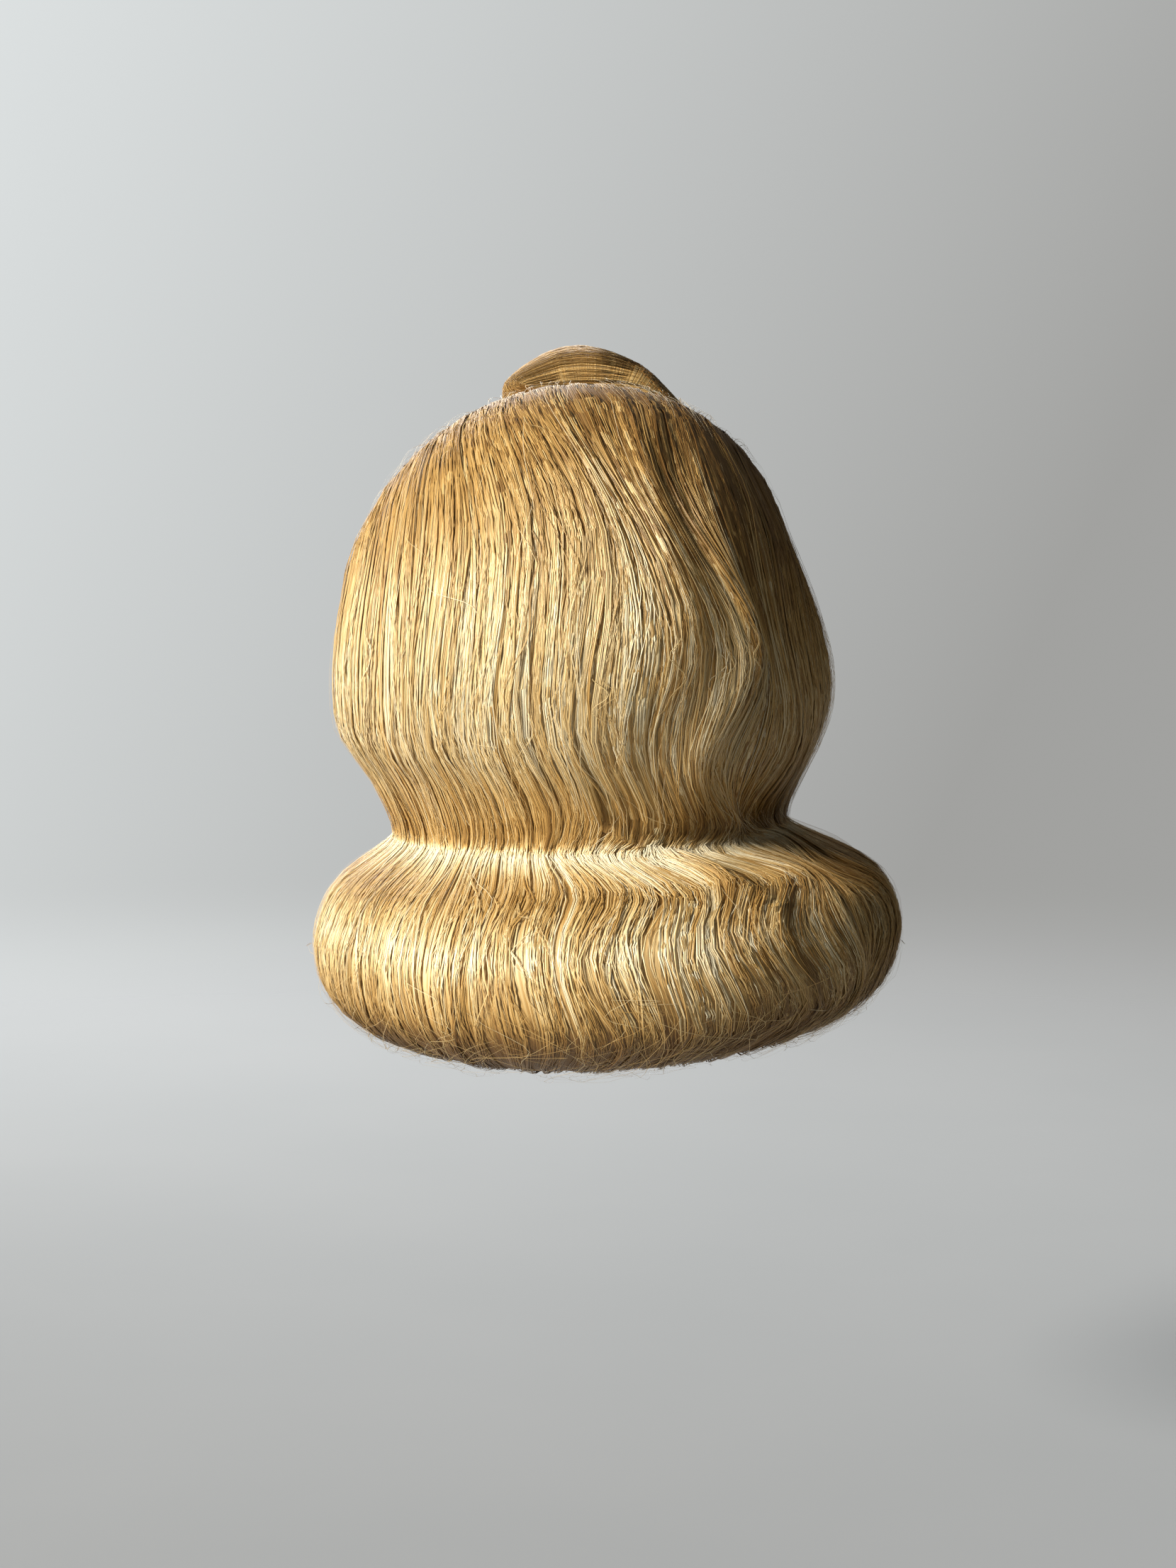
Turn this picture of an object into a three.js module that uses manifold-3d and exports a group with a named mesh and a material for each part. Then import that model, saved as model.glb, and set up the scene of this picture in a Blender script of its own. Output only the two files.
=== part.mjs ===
// A 1940s victory roll wig: a foundation cap, front hair swept up off the forehead into one large rolled
// coil on top, and back hair that falls from an ear-to-ear parting, is drawn in at the nape and turns under
// in a wide pageboy roll. Millimetres, +Z up. The face looks along -Y and the wearer's left is +X.
// The origin is the cap's inner vertex, where the wig sits on the head.
import * as THREE from "three";
import { mergeVertices } from "three/addons/utils/BufferGeometryUtils.js";
import Module from "manifold-3d";

const wasm = await Module();
wasm.setup();

// Head and cap
const HEAD_HALF_WIDTH = 78;
const HEAD_HALF_DEPTH = 98;
const HEAD_DOME = 104; // vertex down to the head's widest level
const CAP_WALL = 1.5;
const SEAT_GAP = 0.3; // between hair and cap, and between neighbouring pieces
const CAP_COLUMNS = 36;
const CAP_ROWS = 8;

// Back hair, from the parting down to the nape
const CROWN_RISE = 9; // top of the parting above the vertex
const CROWN_SIDE_BODY = 38; // how far the hair stands off the head at its widest
const CROWN_BACK_BODY = 31;
const CROWN_WALL = 36;
const CROWN_EDGE_WALL = 9; // at the front edges beside the face
const WAIST_DROP = 195; // vertex down to the waist at the nape
const EDGE_REACH = 60; // front edge of the back hair, ahead of the vertex, at the waist
const SWAY = 6; // how far the crown leans to the wearer's left, and the pageboy to the right

// Pageboy roll
const HEM_DROP = 298;
const BELLY_HALF_WIDTH = 137;
const TUCK_HALF_WIDTH = 68;
const BELLY_REACH = 150;
const TUCK_REACH = 64;
const BELLY_FRONT = 72;
const TUCK_FRONT = 54;
const ROLL_WALL = 26;
const END_TAPER = 0.86; // the roll's height at its front ends, as a share of its height at the back
const HEM_TILT = 5.5; // how much lower the roll hangs at the wearer's left, and higher at the right

// Locks: shallow ridges that run down the back hair and round the pageboy roll
const LOCKS = 24;
const LOCK_DEPTH = 2.4;
const HAIR_COLUMNS = LOCKS * 2;
const CROWN_ROWS = 14;
const ROLL_ROWS = 17;
const LOCK_SWING = 7; // how far the wavy locks swing to each side
const CROSS_LOCK_RISE = 4; // the one lock that crosses the others at the waist
const CROSS_LOCK_HALF_WIDTH = 11;

// Front hair and victory roll
const SWEEP_WALL = 6;
const SWEEP_COLUMNS = 24;
const SWEEP_ROWS = 7;
const COIL_TOP = 28; // above the vertex
const COIL_HALF_WIDTH = 44;
const COIL_BACK = 5; // the coil's closed end at the parting, ahead of the vertex
const COIL_SETBACK = 4; // the coil's open end, behind the furthest point of the forehead
const COIL_WALL = 9;
const COIL_LEAN = 2; // the coil's middle, towards the wearer's right
const COIL_TURN_GAP = 3; // air between the coil's turns
const COIL_STATIONS = 10;
const COIL_STEPS = 44;

// The cap's edge: how far down from the vertex it reaches, by degrees round from the back
const CAP_EDGE = [
  { round: 0, down: 124 },
  { round: 30, down: 120 },
  { round: 58, down: 108 },
  { round: 80, down: 92 },
  { round: 103, down: 98 },
  { round: 122, down: 84 },
  { round: 142, down: 68 },
  { round: 162, down: 60 },
  { round: 180, down: 57 },
];

// Back hair in sections from the parting to the waist. front and back are shares of EDGE_REACH and of the
// crown's reach, frontFall and backFall of the drop from the parting's top to the waist, width of the
// crown's half width, wall of CROWN_WALL and sway of SWAY. wrap is in degrees from the middle of the back.
const CROWN_SECTIONS = [
  { front: 0.43, frontFall: 0.394, back: 0.0, backFall: 0.0, width: 0.76, wrap: 90, wall: 0.4, sway: 0.3 },
  { front: 0.52, frontFall: 0.453, back: 0.33, backFall: 0.01, width: 0.845, wrap: 97, wall: 0.66, sway: 1.2 },
  { front: 0.59, frontFall: 0.517, back: 0.64, backFall: 0.108, width: 0.893, wrap: 103, wall: 0.84, sway: 1.7 },
  { front: 0.64, frontFall: 0.586, back: 0.86, backFall: 0.266, width: 0.933, wrap: 109, wall: 0.94, sway: 1.5 },
  { front: 0.69, frontFall: 0.655, back: 0.98, backFall: 0.453, width: 0.973, wrap: 114, wall: 1.0, sway: 1.2 },
  { front: 0.74, frontFall: 0.729, back: 1.0, backFall: 0.64, width: 0.99, wrap: 117, wall: 1.0, sway: 1.0 },
  { front: 0.81, frontFall: 0.808, back: 0.92, backFall: 0.8, width: 0.955, wrap: 120, wall: 0.88, sway: 1.1 },
  { front: 0.9, frontFall: 0.9, back: 0.81, backFall: 0.912, width: 0.85, wrap: 122, wall: 0.76, sway: 0.6 },
];

// The pageboy roll's turn under, from the waist to its tucked ends. fall is a share of the drop from the
// waist to the hem, out of the way from the tuck to the belly, wall of ROLL_WALL, sway of SWAY and tilt of
// HEM_TILT. ROLL_CORE is the middle that the roll turns round, in the same shares.
const ROLL_SECTIONS = [
  { fall: 0.0, out: 0.32, wall: 0.98, sway: 0.3, tilt: 0.5 },
  { fall: 0.045, out: 0.335, wall: 0.94, sway: 0.2, tilt: 0.6 },
  { fall: 0.1, out: 0.43, wall: 0.94, sway: 0.0, tilt: 0.7 },
  { fall: 0.165, out: 0.6, wall: 0.94, sway: -0.3, tilt: 0.8 },
  { fall: 0.24, out: 0.78, wall: 0.96, sway: -0.6, tilt: 0.9 },
  { fall: 0.35, out: 0.92, wall: 1.0, sway: -0.9, tilt: 1.0 },
  { fall: 0.54, out: 1.0, wall: 1.0, sway: -1.0, tilt: 1.0 },
  { fall: 0.75, out: 0.94, wall: 0.98, sway: -1.0, tilt: 1.0 },
  { fall: 0.88, out: 0.79, wall: 0.92, sway: -1.0, tilt: 1.0 },
  { fall: 0.96, out: 0.6, wall: 0.85, sway: -1.0, tilt: 1.0 },
  { fall: 1.0, out: 0.38, wall: 0.77, sway: -1.0, tilt: 1.0 },
  { fall: 0.96, out: 0.17, wall: 0.69, sway: -0.9, tilt: 1.0 },
  { fall: 0.85, out: 0.04, wall: 0.6, sway: -0.7, tilt: 1.0 },
  { fall: 0.71, out: 0.0, wall: 0.5, sway: -0.5, tilt: 1.0 },
  { fall: 0.57, out: 0.02, wall: 0.42, sway: -0.3, tilt: 1.0 },
  { fall: 0.46, out: 0.08, wall: 0.32, sway: -0.2, tilt: 1.0 },
];
const ROLL_CORE = { fall: 0.62, out: 0.46, wall: 0, sway: -1.0, tilt: 1.0 };
const ROLL_WRAP = 124;
const CORE_SHARE = 0.2; // of the way to the roll's middle that stays hollow

// How the locks leave the straight way down. at is the place across, from the wearer's right edge (0) to the
// left (1), spread its half width, swing a share of LOCK_SWING and waves how often it swings to and fro.
const LOCK_WAVES = [
  { at: 0.3, spread: 0.14, swing: 1.0, waves: 2.2, phase: 0.1 },
  { at: 0.45, spread: 0.12, swing: 0.8, waves: 1.8, phase: 0.4 },
  { at: 0.62, spread: 0.1, swing: 0.45, waves: 1.5, phase: 0.0 },
  { at: 0.82, spread: 0.14, swing: -0.3, waves: 1.2, phase: 0.25 },
];

// The lock that crosses the waist: where it lies across, by section down.
const CROSS_LOCK = [
  { section: 6.2, at: 0.535, rise: 0.0 },
  { section: 7.4, at: 0.505, rise: 0.8 },
  { section: 8.6, at: 0.465, rise: 1.0 },
  { section: 10.2, at: 0.42, rise: 1.0 },
  { section: 12.0, at: 0.385, rise: 0.9 },
  { section: 14.2, at: 0.37, rise: 0.0 },
];

// The victory roll along its length, from the parting to its open front end. along is a share of its
// length, top of COIL_TOP, width of COIL_HALF_WIDTH and hub how far up between seat and top it is centred.
const COIL_PROFILE = [
  { along: 0.0, top: 0.36, width: 0.74, hub: 0.3 },
  { along: 0.1, top: 0.68, width: 0.86, hub: 0.3 },
  { along: 0.24, top: 0.9, width: 0.95, hub: 0.32 },
  { along: 0.42, top: 0.99, width: 1.0, hub: 0.36 },
  { along: 0.62, top: 0.94, width: 1.0, hub: 0.42 },
  { along: 0.82, top: 0.76, width: 0.97, hub: 0.47 },
  { along: 1.0, top: 0.48, width: 0.91, hub: 0.5 },
];

const crownHalfWidth = HEAD_HALF_WIDTH + CROWN_SIDE_BODY;
const crownReach = HEAD_HALF_DEPTH + CROWN_BACK_BODY;
const hairRound = 2 * Math.PI * crownHalfWidth; // about the way round the hair, which places are shares of
const headMiddle = new THREE.Vector3(0, 0, -HEAD_DOME);

const degrees = (d) => (d * Math.PI) / 180;
const mix = (a, b, t) => a + (b - a) * t;
const clamp01 = (t) => Math.min(1, Math.max(0, t));
const smooth = (a, b, x) => {
  const t = clamp01((x - a) / (b - a));
  return t * t * (3 - 2 * t);
};

// A column of a table at a fractional row, through the rows on a smooth curve.
function column(table, name, at) {
  const last = table.length - 1;
  const i = Math.min(Math.max(Math.floor(at), 0), last - 1);
  const t = at - i;
  const value = (k) => table[Math.min(Math.max(k, 0), last)][name];
  const [p0, p1, p2, p3] = [value(i - 1), value(i), value(i + 1), value(i + 2)];
  const slope1 = (p2 - p0) / 2;
  const slope2 = (p3 - p1) / 2;
  return (
    (2 * t ** 3 - 3 * t ** 2 + 1) * p1 +
    (t ** 3 - 2 * t ** 2 + t) * slope1 +
    (-2 * t ** 3 + 3 * t ** 2) * p2 +
    (t ** 3 - t ** 2) * slope2
  );
}

// The fractional row of a table at which a rising column reaches a value.
function rowAt(table, name, wanted) {
  const i = Math.max(1, table.findIndex((row) => row[name] >= wanted));
  const [low, high] = [table[i - 1][name], table[i][name]];
  return i - 1 + clamp01((wanted - low) / (high - low));
}

// Collects triangles into a geometry. Those that shrink to nothing are left out.
function facets() {
  const NOTHING = 1e-4;
  const positions = [];
  const triangle = (p, q, r) => {
    if (Math.min(p.distanceTo(q), q.distanceTo(r), r.distanceTo(p)) < NOTHING) return;
    for (const corner of [p, q, r]) positions.push(...corner.toArray());
  };
  const quad = (a, b, c, d) => {
    triangle(a, b, c);
    triangle(a, c, d);
  };
  const geometry = () => {
    const made = new THREE.BufferGeometry();
    return made.setAttribute("position", new THREE.Float32BufferAttribute(positions, 3));
  };
  return { quad, geometry };
}

// A skin's points as rows of columns. A round skin's last column is its first.
function gridOf(columns, rows, skin, round) {
  return Array.from({ length: rows + 1 }, (_, j) =>
    Array.from({ length: columns + 1 }, (_, i) => skin((round ? i % columns : i) / columns, j / rows)),
  );
}

// A closed wall between an outer and an inner skin, joined along its open edges.
function wallSolid(columns, rows, outer, inner, round = false) {
  const { quad, geometry } = facets();
  const [o, n] = [gridOf(columns, rows, outer, round), gridOf(columns, rows, inner, round)];
  for (let j = 0; j < rows; j++)
    for (let i = 0; i < columns; i++) {
      quad(o[j][i], o[j + 1][i], o[j + 1][i + 1], o[j][i + 1]);
      quad(n[j][i], n[j][i + 1], n[j + 1][i + 1], n[j + 1][i]);
    }
  for (let i = 0; i < columns; i++) {
    quad(o[0][i], o[0][i + 1], n[0][i + 1], n[0][i]);
    quad(o[rows][i], n[rows][i], n[rows][i + 1], o[rows][i + 1]);
  }
  for (let j = 0; j < rows && !round; j++) {
    quad(o[j][0], n[j][0], n[j + 1][0], o[j + 1][0]);
    quad(o[j][columns], o[j + 1][columns], n[j + 1][columns], n[j][columns]);
  }
  return solid(geometry());
}

// A solid inside one skin that runs from pole to pole.
function ballSolid(columns, rows, skin) {
  const { quad, geometry } = facets();
  const o = gridOf(columns, rows, skin, true);
  for (let j = 0; j < rows; j++)
    for (let i = 0; i < columns; i++) quad(o[j][i], o[j + 1][i], o[j + 1][i + 1], o[j][i + 1]);
  return solid(geometry());
}

// A geometry as a solid that can be joined and cut, turned right way out if its grid ran the other way.
function solid(geometry) {
  const MERGE = 1e-3;
  const merged = mergeVertices(geometry, MERGE);
  const triVerts = new Uint32Array(merged.index.array);
  const make = () =>
    new wasm.Manifold(
      new wasm.Mesh({ numProp: 3, vertProperties: merged.attributes.position.array, triVerts }),
    );
  const made = make();
  if (made.volume() > 0) return made;
  for (let i = 0; i < triVerts.length; i += 3)
    [triVerts[i + 1], triVerts[i + 2]] = [triVerts[i + 2], triVerts[i + 1]];
  return make();
}

// What is left of a piece once its neighbour is cut out of it with the seat gap to the front and the sides.
function cutClear(made, neighbour) {
  const moves = [
    [0, -SEAT_GAP, 0],
    [SEAT_GAP, 0, 0],
    [-SEAT_GAP, 0, 0],
    [0, 0, SEAT_GAP],
  ];
  return moves.reduce((left, move) => left.subtract(neighbour.translate(move)), made);
}

function geometryOf(manifold) {
  const { vertProperties, triVerts } = manifold.getMesh();
  const geometry = new THREE.BufferGeometry();
  geometry.setAttribute("position", new THREE.BufferAttribute(vertProperties, 3));
  geometry.setIndex(new THREE.BufferAttribute(triVerts, 1));
  const flat = geometry.toNonIndexed();
  flat.computeVertexNormals();
  return flat;
}

// The head's form, grown by a distance: round is the angle from the back and down the angle from the vertex.
function headPoint(round, down, grown) {
  const [r, d] = [degrees(round), degrees(down)];
  return new THREE.Vector3(
    (HEAD_HALF_WIDTH + grown) * Math.sin(d) * Math.sin(r),
    (HEAD_HALF_DEPTH + grown) * Math.sin(d) * Math.cos(r),
    (HEAD_DOME + grown) * Math.cos(d) - HEAD_DOME,
  );
}

function capEdge(round) {
  const folded = Math.abs(((round + 180) % 360) - 180);
  return column(CAP_EDGE, "down", rowAt(CAP_EDGE, "round", folded));
}

const capSkin = (grown) => (u, v) => headPoint(360 * u, v * capEdge(360 * u), grown);

function wigCap() {
  return wallSolid(CAP_COLUMNS, CAP_ROWS, capSkin(CAP_WALL), capSkin(0), true);
}

// The room that the cap and the head take: the cap's own facets grown by the seat gap, closed below the edge.
function headRoom() {
  const BELOW_ROWS = 5;
  const rows = CAP_ROWS + BELOW_ROWS;
  const skin = (u, v) => {
    const row = Math.round(v * rows);
    const edge = capEdge(360 * u);
    const down = row <= CAP_ROWS ? (row / CAP_ROWS) * edge : mix(edge, 180, (row - CAP_ROWS) / BELOW_ROWS);
    return headPoint(360 * u, down, CAP_WALL + SEAT_GAP);
  };
  return ballSolid(CAP_COLUMNS, rows, skin);
}

// A row of the pageboy roll's table in millimetres.
function rollSection(s) {
  return {
    front: -mix(TUCK_FRONT, BELLY_FRONT, s.out),
    frontZ: -WAIST_DROP - (HEM_DROP - WAIST_DROP) * s.fall * END_TAPER,
    back: mix(TUCK_REACH, BELLY_REACH, s.out),
    backZ: -WAIST_DROP - (HEM_DROP - WAIST_DROP) * s.fall,
    width: mix(TUCK_HALF_WIDTH, BELLY_HALF_WIDTH, s.out),
    wrap: ROLL_WRAP,
    wall: ROLL_WALL * s.wall,
    edgeWall: ROLL_WALL * s.wall,
    sway: SWAY * s.sway,
    tilt: HEM_TILT * s.tilt,
  };
}

// The back hair's sections in millimetres, from the parting through the waist to the tucked ends.
const HAIR_SECTIONS = [
  ...CROWN_SECTIONS.map((s) => ({
    front: -EDGE_REACH * s.front,
    frontZ: CROWN_RISE - (CROWN_RISE + WAIST_DROP) * s.frontFall,
    back: crownReach * s.back,
    backZ: CROWN_RISE - (CROWN_RISE + WAIST_DROP) * s.backFall,
    width: crownHalfWidth * s.width,
    wrap: s.wrap,
    wall: CROWN_WALL * s.wall,
    edgeWall: CROWN_EDGE_WALL,
    sway: SWAY * s.sway,
    tilt: 0,
  })),
  ...ROLL_SECTIONS.map(rollSection),
];
const WAIST_ROW = CROWN_SECTIONS.length;
const TIP_ROW = HAIR_SECTIONS.length - 1;

// The hair's outer surface. u runs from the wearer's right front edge (0) round the back to the left (1),
// and row counts the sections down from the parting.
function hairSurface(u, row) {
  const s = {};
  for (const name of Object.keys(HAIR_SECTIONS[0])) s[name] = column(HAIR_SECTIONS, name, row);
  return onSection(s, u);
}

// The point at a place across on one section, which bends round the back of the head.
function onSection(s, u) {
  const wrap = degrees(s.wrap);
  const angle = mix(-wrap, wrap, u);
  const backward = (Math.cos(angle) - Math.cos(wrap)) / (1 - Math.cos(wrap));
  return new THREE.Vector3(
    s.sway + s.width * Math.sin(angle),
    mix(s.front, s.back, backward),
    mix(s.frontZ, s.backZ, backward) - s.tilt * Math.sin(angle),
  );
}

// A lock's own place across, once it has swung to the side. The front edges stay where they are.
function lockPlace(u, row) {
  const [EDGE, ROOT_ROWS] = [0.1, 1.5];
  const held = smooth(0, EDGE, u) * smooth(1, 1 - EDGE, u) * smooth(0, ROOT_ROWS, row);
  let swung = 0;
  for (const w of LOCK_WAVES) {
    const near = Math.exp(-(((u - w.at) / w.spread) ** 2));
    swung += w.swing * near * Math.sin(2 * Math.PI * (w.waves * (row / WAIST_ROW) + w.phase));
  }
  return u + (held * swung * LOCK_SWING) / hairRound;
}

// How far the crossing lock stands out at a place.
function crossLockRise(u, row) {
  const last = CROSS_LOCK[CROSS_LOCK.length - 1];
  if (row <= CROSS_LOCK[0].section || row >= last.section) return 0;
  const at = rowAt(CROSS_LOCK, "section", row);
  const aside = (u - column(CROSS_LOCK, "at", at)) * hairRound;
  return CROSS_LOCK_RISE * column(CROSS_LOCK, "rise", at) * Math.exp(-((aside / CROSS_LOCK_HALF_WIDTH) ** 2));
}

// Which way is out of the hair: away from the middle of the head over the crown, and square to the surface
// from there down.
function hairOutward(u, row) {
  const STEP = 0.02;
  const along = hairSurface(u, Math.min(row + STEP, TIP_ROW)).sub(hairSurface(u, Math.max(row - STEP, 0)));
  const across = hairSurface(Math.min(u + STEP, 1), row).sub(hairSurface(Math.max(u - STEP, 0), row));
  const square = across.cross(along).normalize();
  const radial = hairSurface(u, row).sub(headMiddle).normalize();
  const [RADIAL_TO, SQUARE_FROM] = [2, 5];
  return radial.lerp(square, smooth(RADIAL_TO, SQUARE_FROM, row)).normalize();
}

// The wall thins towards the front edges, and ridges stand out of the outer skin away from its ends. In the
// pageboy roll the inner skin is drawn towards the roll's middle instead of square to the outer skin.
function hairSkins(firstRow, lastRow) {
  const EDGE_WIDTH = 0.12;
  const TIP_ROWS = 4;
  const [SQUARE_TO, CORE_FROM] = [WAIST_ROW + 2, WAIST_ROW + 5];
  const core = rollSection(ROLL_CORE);
  const outer = (u, v) => {
    const row = mix(firstRow, lastRow, v);
    const place = lockPlace(u, row);
    const fade = smooth(0, 1, row) * smooth(TIP_ROW, TIP_ROW - TIP_ROWS, row);
    const ridge = -0.5 * LOCK_DEPTH * Math.cos(2 * Math.PI * LOCKS * u) * fade;
    return hairSurface(place, row).addScaledVector(hairOutward(place, row), ridge + crossLockRise(place, row));
  };
  const inner = (u, v) => {
    const row = mix(firstRow, lastRow, v);
    const place = lockPlace(u, row);
    const surface = hairSurface(place, row);
    const fromEdge = smooth(0, EDGE_WIDTH, Math.min(u, 1 - u));
    const wall = mix(column(HAIR_SECTIONS, "edgeWall", row), column(HAIR_SECTIONS, "wall", row), fromEdge);
    const toCore = onSection(core, place).sub(surface);
    const most = toCore.length() * (1 - CORE_SHARE);
    const inRoll = smooth(SQUARE_TO, CORE_FROM, row);
    const inward = hairOutward(place, row).negate().lerp(toCore.normalize(), inRoll).normalize();
    return surface.addScaledVector(inward, mix(wall, Math.min(wall, most), inRoll));
  };
  return [outer, inner];
}

function crownHair(room) {
  const lastStep = HAIR_SECTIONS[WAIST_ROW - 1].backZ - HAIR_SECTIONS[WAIST_ROW].backZ;
  const skins = hairSkins(0, WAIST_ROW - SEAT_GAP / lastStep);
  return wallSolid(HAIR_COLUMNS, CROWN_ROWS, ...skins).subtract(room);
}

function pageboyRoll() {
  return wallSolid(HAIR_COLUMNS, ROLL_ROWS, ...hairSkins(WAIST_ROW, TIP_ROW));
}

// The front hair lies on the cap from the hairline back to the parting. Its skins follow the head's form,
// grown by a distance, along the shortest way between the two lines.
function sweepSkin(grown) {
  const ENDS = 0.04; // kept back from the parting's lower ends
  const TEMPLE = 76; // degrees round from the middle of the forehead
  const EDGE_IN = 1; // degrees above the cap's edge
  const PART_CLEAR = new THREE.Vector3(0, -0.5, 0);
  return (u, v) => {
    const part = hairSurface(mix(ENDS, 1 - ENDS, u), 0).add(PART_CLEAR).sub(headMiddle).normalize();
    const round = 180 + mix(TEMPLE, -TEMPLE, u);
    const hairline = headPoint(round, capEdge(round) - EDGE_IN, 0).sub(headMiddle).normalize();
    const way = hairline.lerp(part, v).normalize();
    const size = new THREE.Vector3(HEAD_HALF_WIDTH + grown, HEAD_HALF_DEPTH + grown, HEAD_DOME + grown);
    return way.divideScalar(way.clone().divide(size).length()).add(headMiddle);
  };
}

function frontSweep(room, crown, extra = 0) {
  const [HAIRLINE_SHARE, FULL_FROM] = [0.45, 0.35]; // the wall at the hairline, and where it is full
  const SUNK = -2; // the inner skin, which the room then cuts
  const outer = (u, v) => {
    const wall = SWEEP_WALL * mix(HAIRLINE_SHARE, 1, smooth(0, FULL_FROM, v));
    return sweepSkin(CAP_WALL + wall + extra)(u, v);
  };
  return cutClear(wallSolid(SWEEP_COLUMNS, SWEEP_ROWS, outer, sweepSkin(SUNK)).subtract(room), crown);
}

// The victory roll: hair swept up from one side, over the top to the other and rolled under into a coil
// that opens to the front. Each station along it is a spiral that sits on the head.
function victoryRoll(room, crown, sweep) {
  const START = 215; // degrees: where the hair leaves the side of the head
  const TURNED = 640; // degrees that it is rolled through
  const FIRST_PASS = 150; // degrees after which it starts to turn inside itself
  const TIP_SHARE = 0.45; // the wall at the rolled-in ends
  const SEAT_MOST = 0.93; // how far forward the head's form is followed, of its depth
  const PEAK = 1.12; // 1 is an ellipse, and more draws the coil's top to a steeper arch
  const LEAST = 1; // half of the smallest coil
  const LEAST_WALL = 0.3;
  const section = (v) => {
    const row = rowAt(COIL_PROFILE, "along", v);
    const y = -mix(COIL_BACK, HEAD_HALF_DEPTH - COIL_SETBACK, v);
    const onHead = Math.min(Math.abs(y) / (HEAD_HALF_DEPTH + CAP_WALL), SEAT_MOST);
    const seat = (HEAD_DOME + CAP_WALL) * Math.sqrt(1 - onHead ** 2) - HEAD_DOME + SWEEP_WALL;
    const top = COIL_TOP * column(COIL_PROFILE, "top", row);
    const z = mix(seat, top, column(COIL_PROFILE, "hub", row));
    return {
      y,
      z,
      halfWidth: COIL_HALF_WIDTH * column(COIL_PROFILE, "width", row),
      halfHeight: top - z,
    };
  };
  const peaked = (share) => Math.sign(share) * Math.abs(share) ** PEAK;
  const spiral = (inward) => (u, v) => {
    const s = section(v);
    const turned = TURNED * u;
    const angle = degrees(START - turned);
    const wall = COIL_WALL * mix(1, TIP_SHARE, u);
    const passes = turned < 360 ? clamp01((turned - FIRST_PASS) / (360 - FIRST_PASS)) : turned / 360;
    const drawnIn = (COIL_WALL + COIL_TURN_GAP) * passes + inward * wall;
    const least = LEAST + LEAST_WALL * (1 - inward);
    return new THREE.Vector3(
      -COIL_LEAN + Math.max(s.halfWidth - drawnIn, least) * peaked(Math.cos(angle)),
      s.y,
      s.z + Math.max(s.halfHeight - drawnIn, least) * peaked(Math.sin(angle)),
    );
  };
  const blank = wallSolid(COIL_STEPS, COIL_STATIONS, spiral(0), spiral(1));
  return cutClear(blank.subtract(sweep).subtract(room), crown);
}

function hairMaterial(colour) {
  return new THREE.MeshStandardMaterial({ color: colour, roughness: 0.45, metalness: 0 });
}

function piece(name, manifold, material) {
  const mesh = new THREE.Mesh(geometryOf(manifold), material);
  mesh.name = name;
  return mesh;
}

const room = headRoom();
const crown = crownHair(room);
const coil = victoryRoll(room, crown, frontSweep(room, crown, SEAT_GAP));
const wig = new THREE.Group();
wig.add(piece("wig_cap", wigCap(), new THREE.MeshStandardMaterial({ color: "#b59a78", roughness: 0.9 })));
wig.add(piece("front_sweep", frontSweep(room, crown), hairMaterial("#c49a55")));
wig.add(piece("victory_roll", coil, hairMaterial("#c8a05c")));
wig.add(piece("crown_hair", crown, hairMaterial("#d2ae6a")));
wig.add(piece("pageboy_roll", pageboyRoll(), hairMaterial("#cfa962")));

export default wig;
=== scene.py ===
"""Hair, cap net and light for a rolled and set wig. Lengths are in metres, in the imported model's frame."""

import math

import bpy
import numpy as np
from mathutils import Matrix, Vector

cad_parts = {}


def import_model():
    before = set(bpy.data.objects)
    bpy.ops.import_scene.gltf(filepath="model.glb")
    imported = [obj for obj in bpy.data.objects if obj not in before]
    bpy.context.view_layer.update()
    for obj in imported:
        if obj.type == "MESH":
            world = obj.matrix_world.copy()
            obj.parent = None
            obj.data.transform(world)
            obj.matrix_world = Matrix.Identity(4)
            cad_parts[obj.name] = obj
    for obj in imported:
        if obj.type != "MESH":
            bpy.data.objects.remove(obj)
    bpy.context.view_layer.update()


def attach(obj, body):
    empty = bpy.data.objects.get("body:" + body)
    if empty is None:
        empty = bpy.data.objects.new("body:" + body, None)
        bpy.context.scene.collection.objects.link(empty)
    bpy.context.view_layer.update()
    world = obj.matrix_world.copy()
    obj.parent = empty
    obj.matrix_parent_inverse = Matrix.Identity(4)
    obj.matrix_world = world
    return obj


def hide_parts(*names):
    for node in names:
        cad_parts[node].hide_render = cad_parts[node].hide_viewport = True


MM = 0.001
SEED = 1947

# The head and the hair's main sizes, as in the model.
HEAD_HALF_WIDTH = 0.078
HEAD_HALF_DEPTH = 0.098
HEAD_DOME = 0.104
CAP_WALL = 0.0015
SEAT_GAP = 0.0003
CROWN_RISE = 0.009
CROWN_HALF_WIDTH = 0.116
CROWN_REACH = 0.129
CROWN_WALL = 0.036
CROWN_EDGE_WALL = 0.009
WAIST_DROP = 0.195
EDGE_REACH = 0.060
HEM_DROP = 0.298
BELLY_HALF_WIDTH = 0.137
TUCK_HALF_WIDTH = 0.068
BELLY_REACH = 0.150
TUCK_REACH = 0.064
BELLY_FRONT = 0.072
TUCK_FRONT = 0.054
ROLL_WALL = 0.026
ROLL_WRAP = 124.0
END_TAPER = 0.86
HEM_TILT = 0.0055
SWAY = 0.006
LOCKS = 24
LOCK_DEPTH = 0.0024
LOCK_SWING = 0.007
CROSS_LOCK_RISE = 0.004
CROSS_LOCK_HALF_WIDTH = 0.011
CORE_SHARE = 0.2
SWEEP_WALL = 0.006
COIL_TOP = 0.028
COIL_HALF_WIDTH = 0.044
COIL_BACK = 0.005
COIL_SETBACK = 0.004
COIL_WALL = 0.009
COIL_LEAN = 0.002
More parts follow.
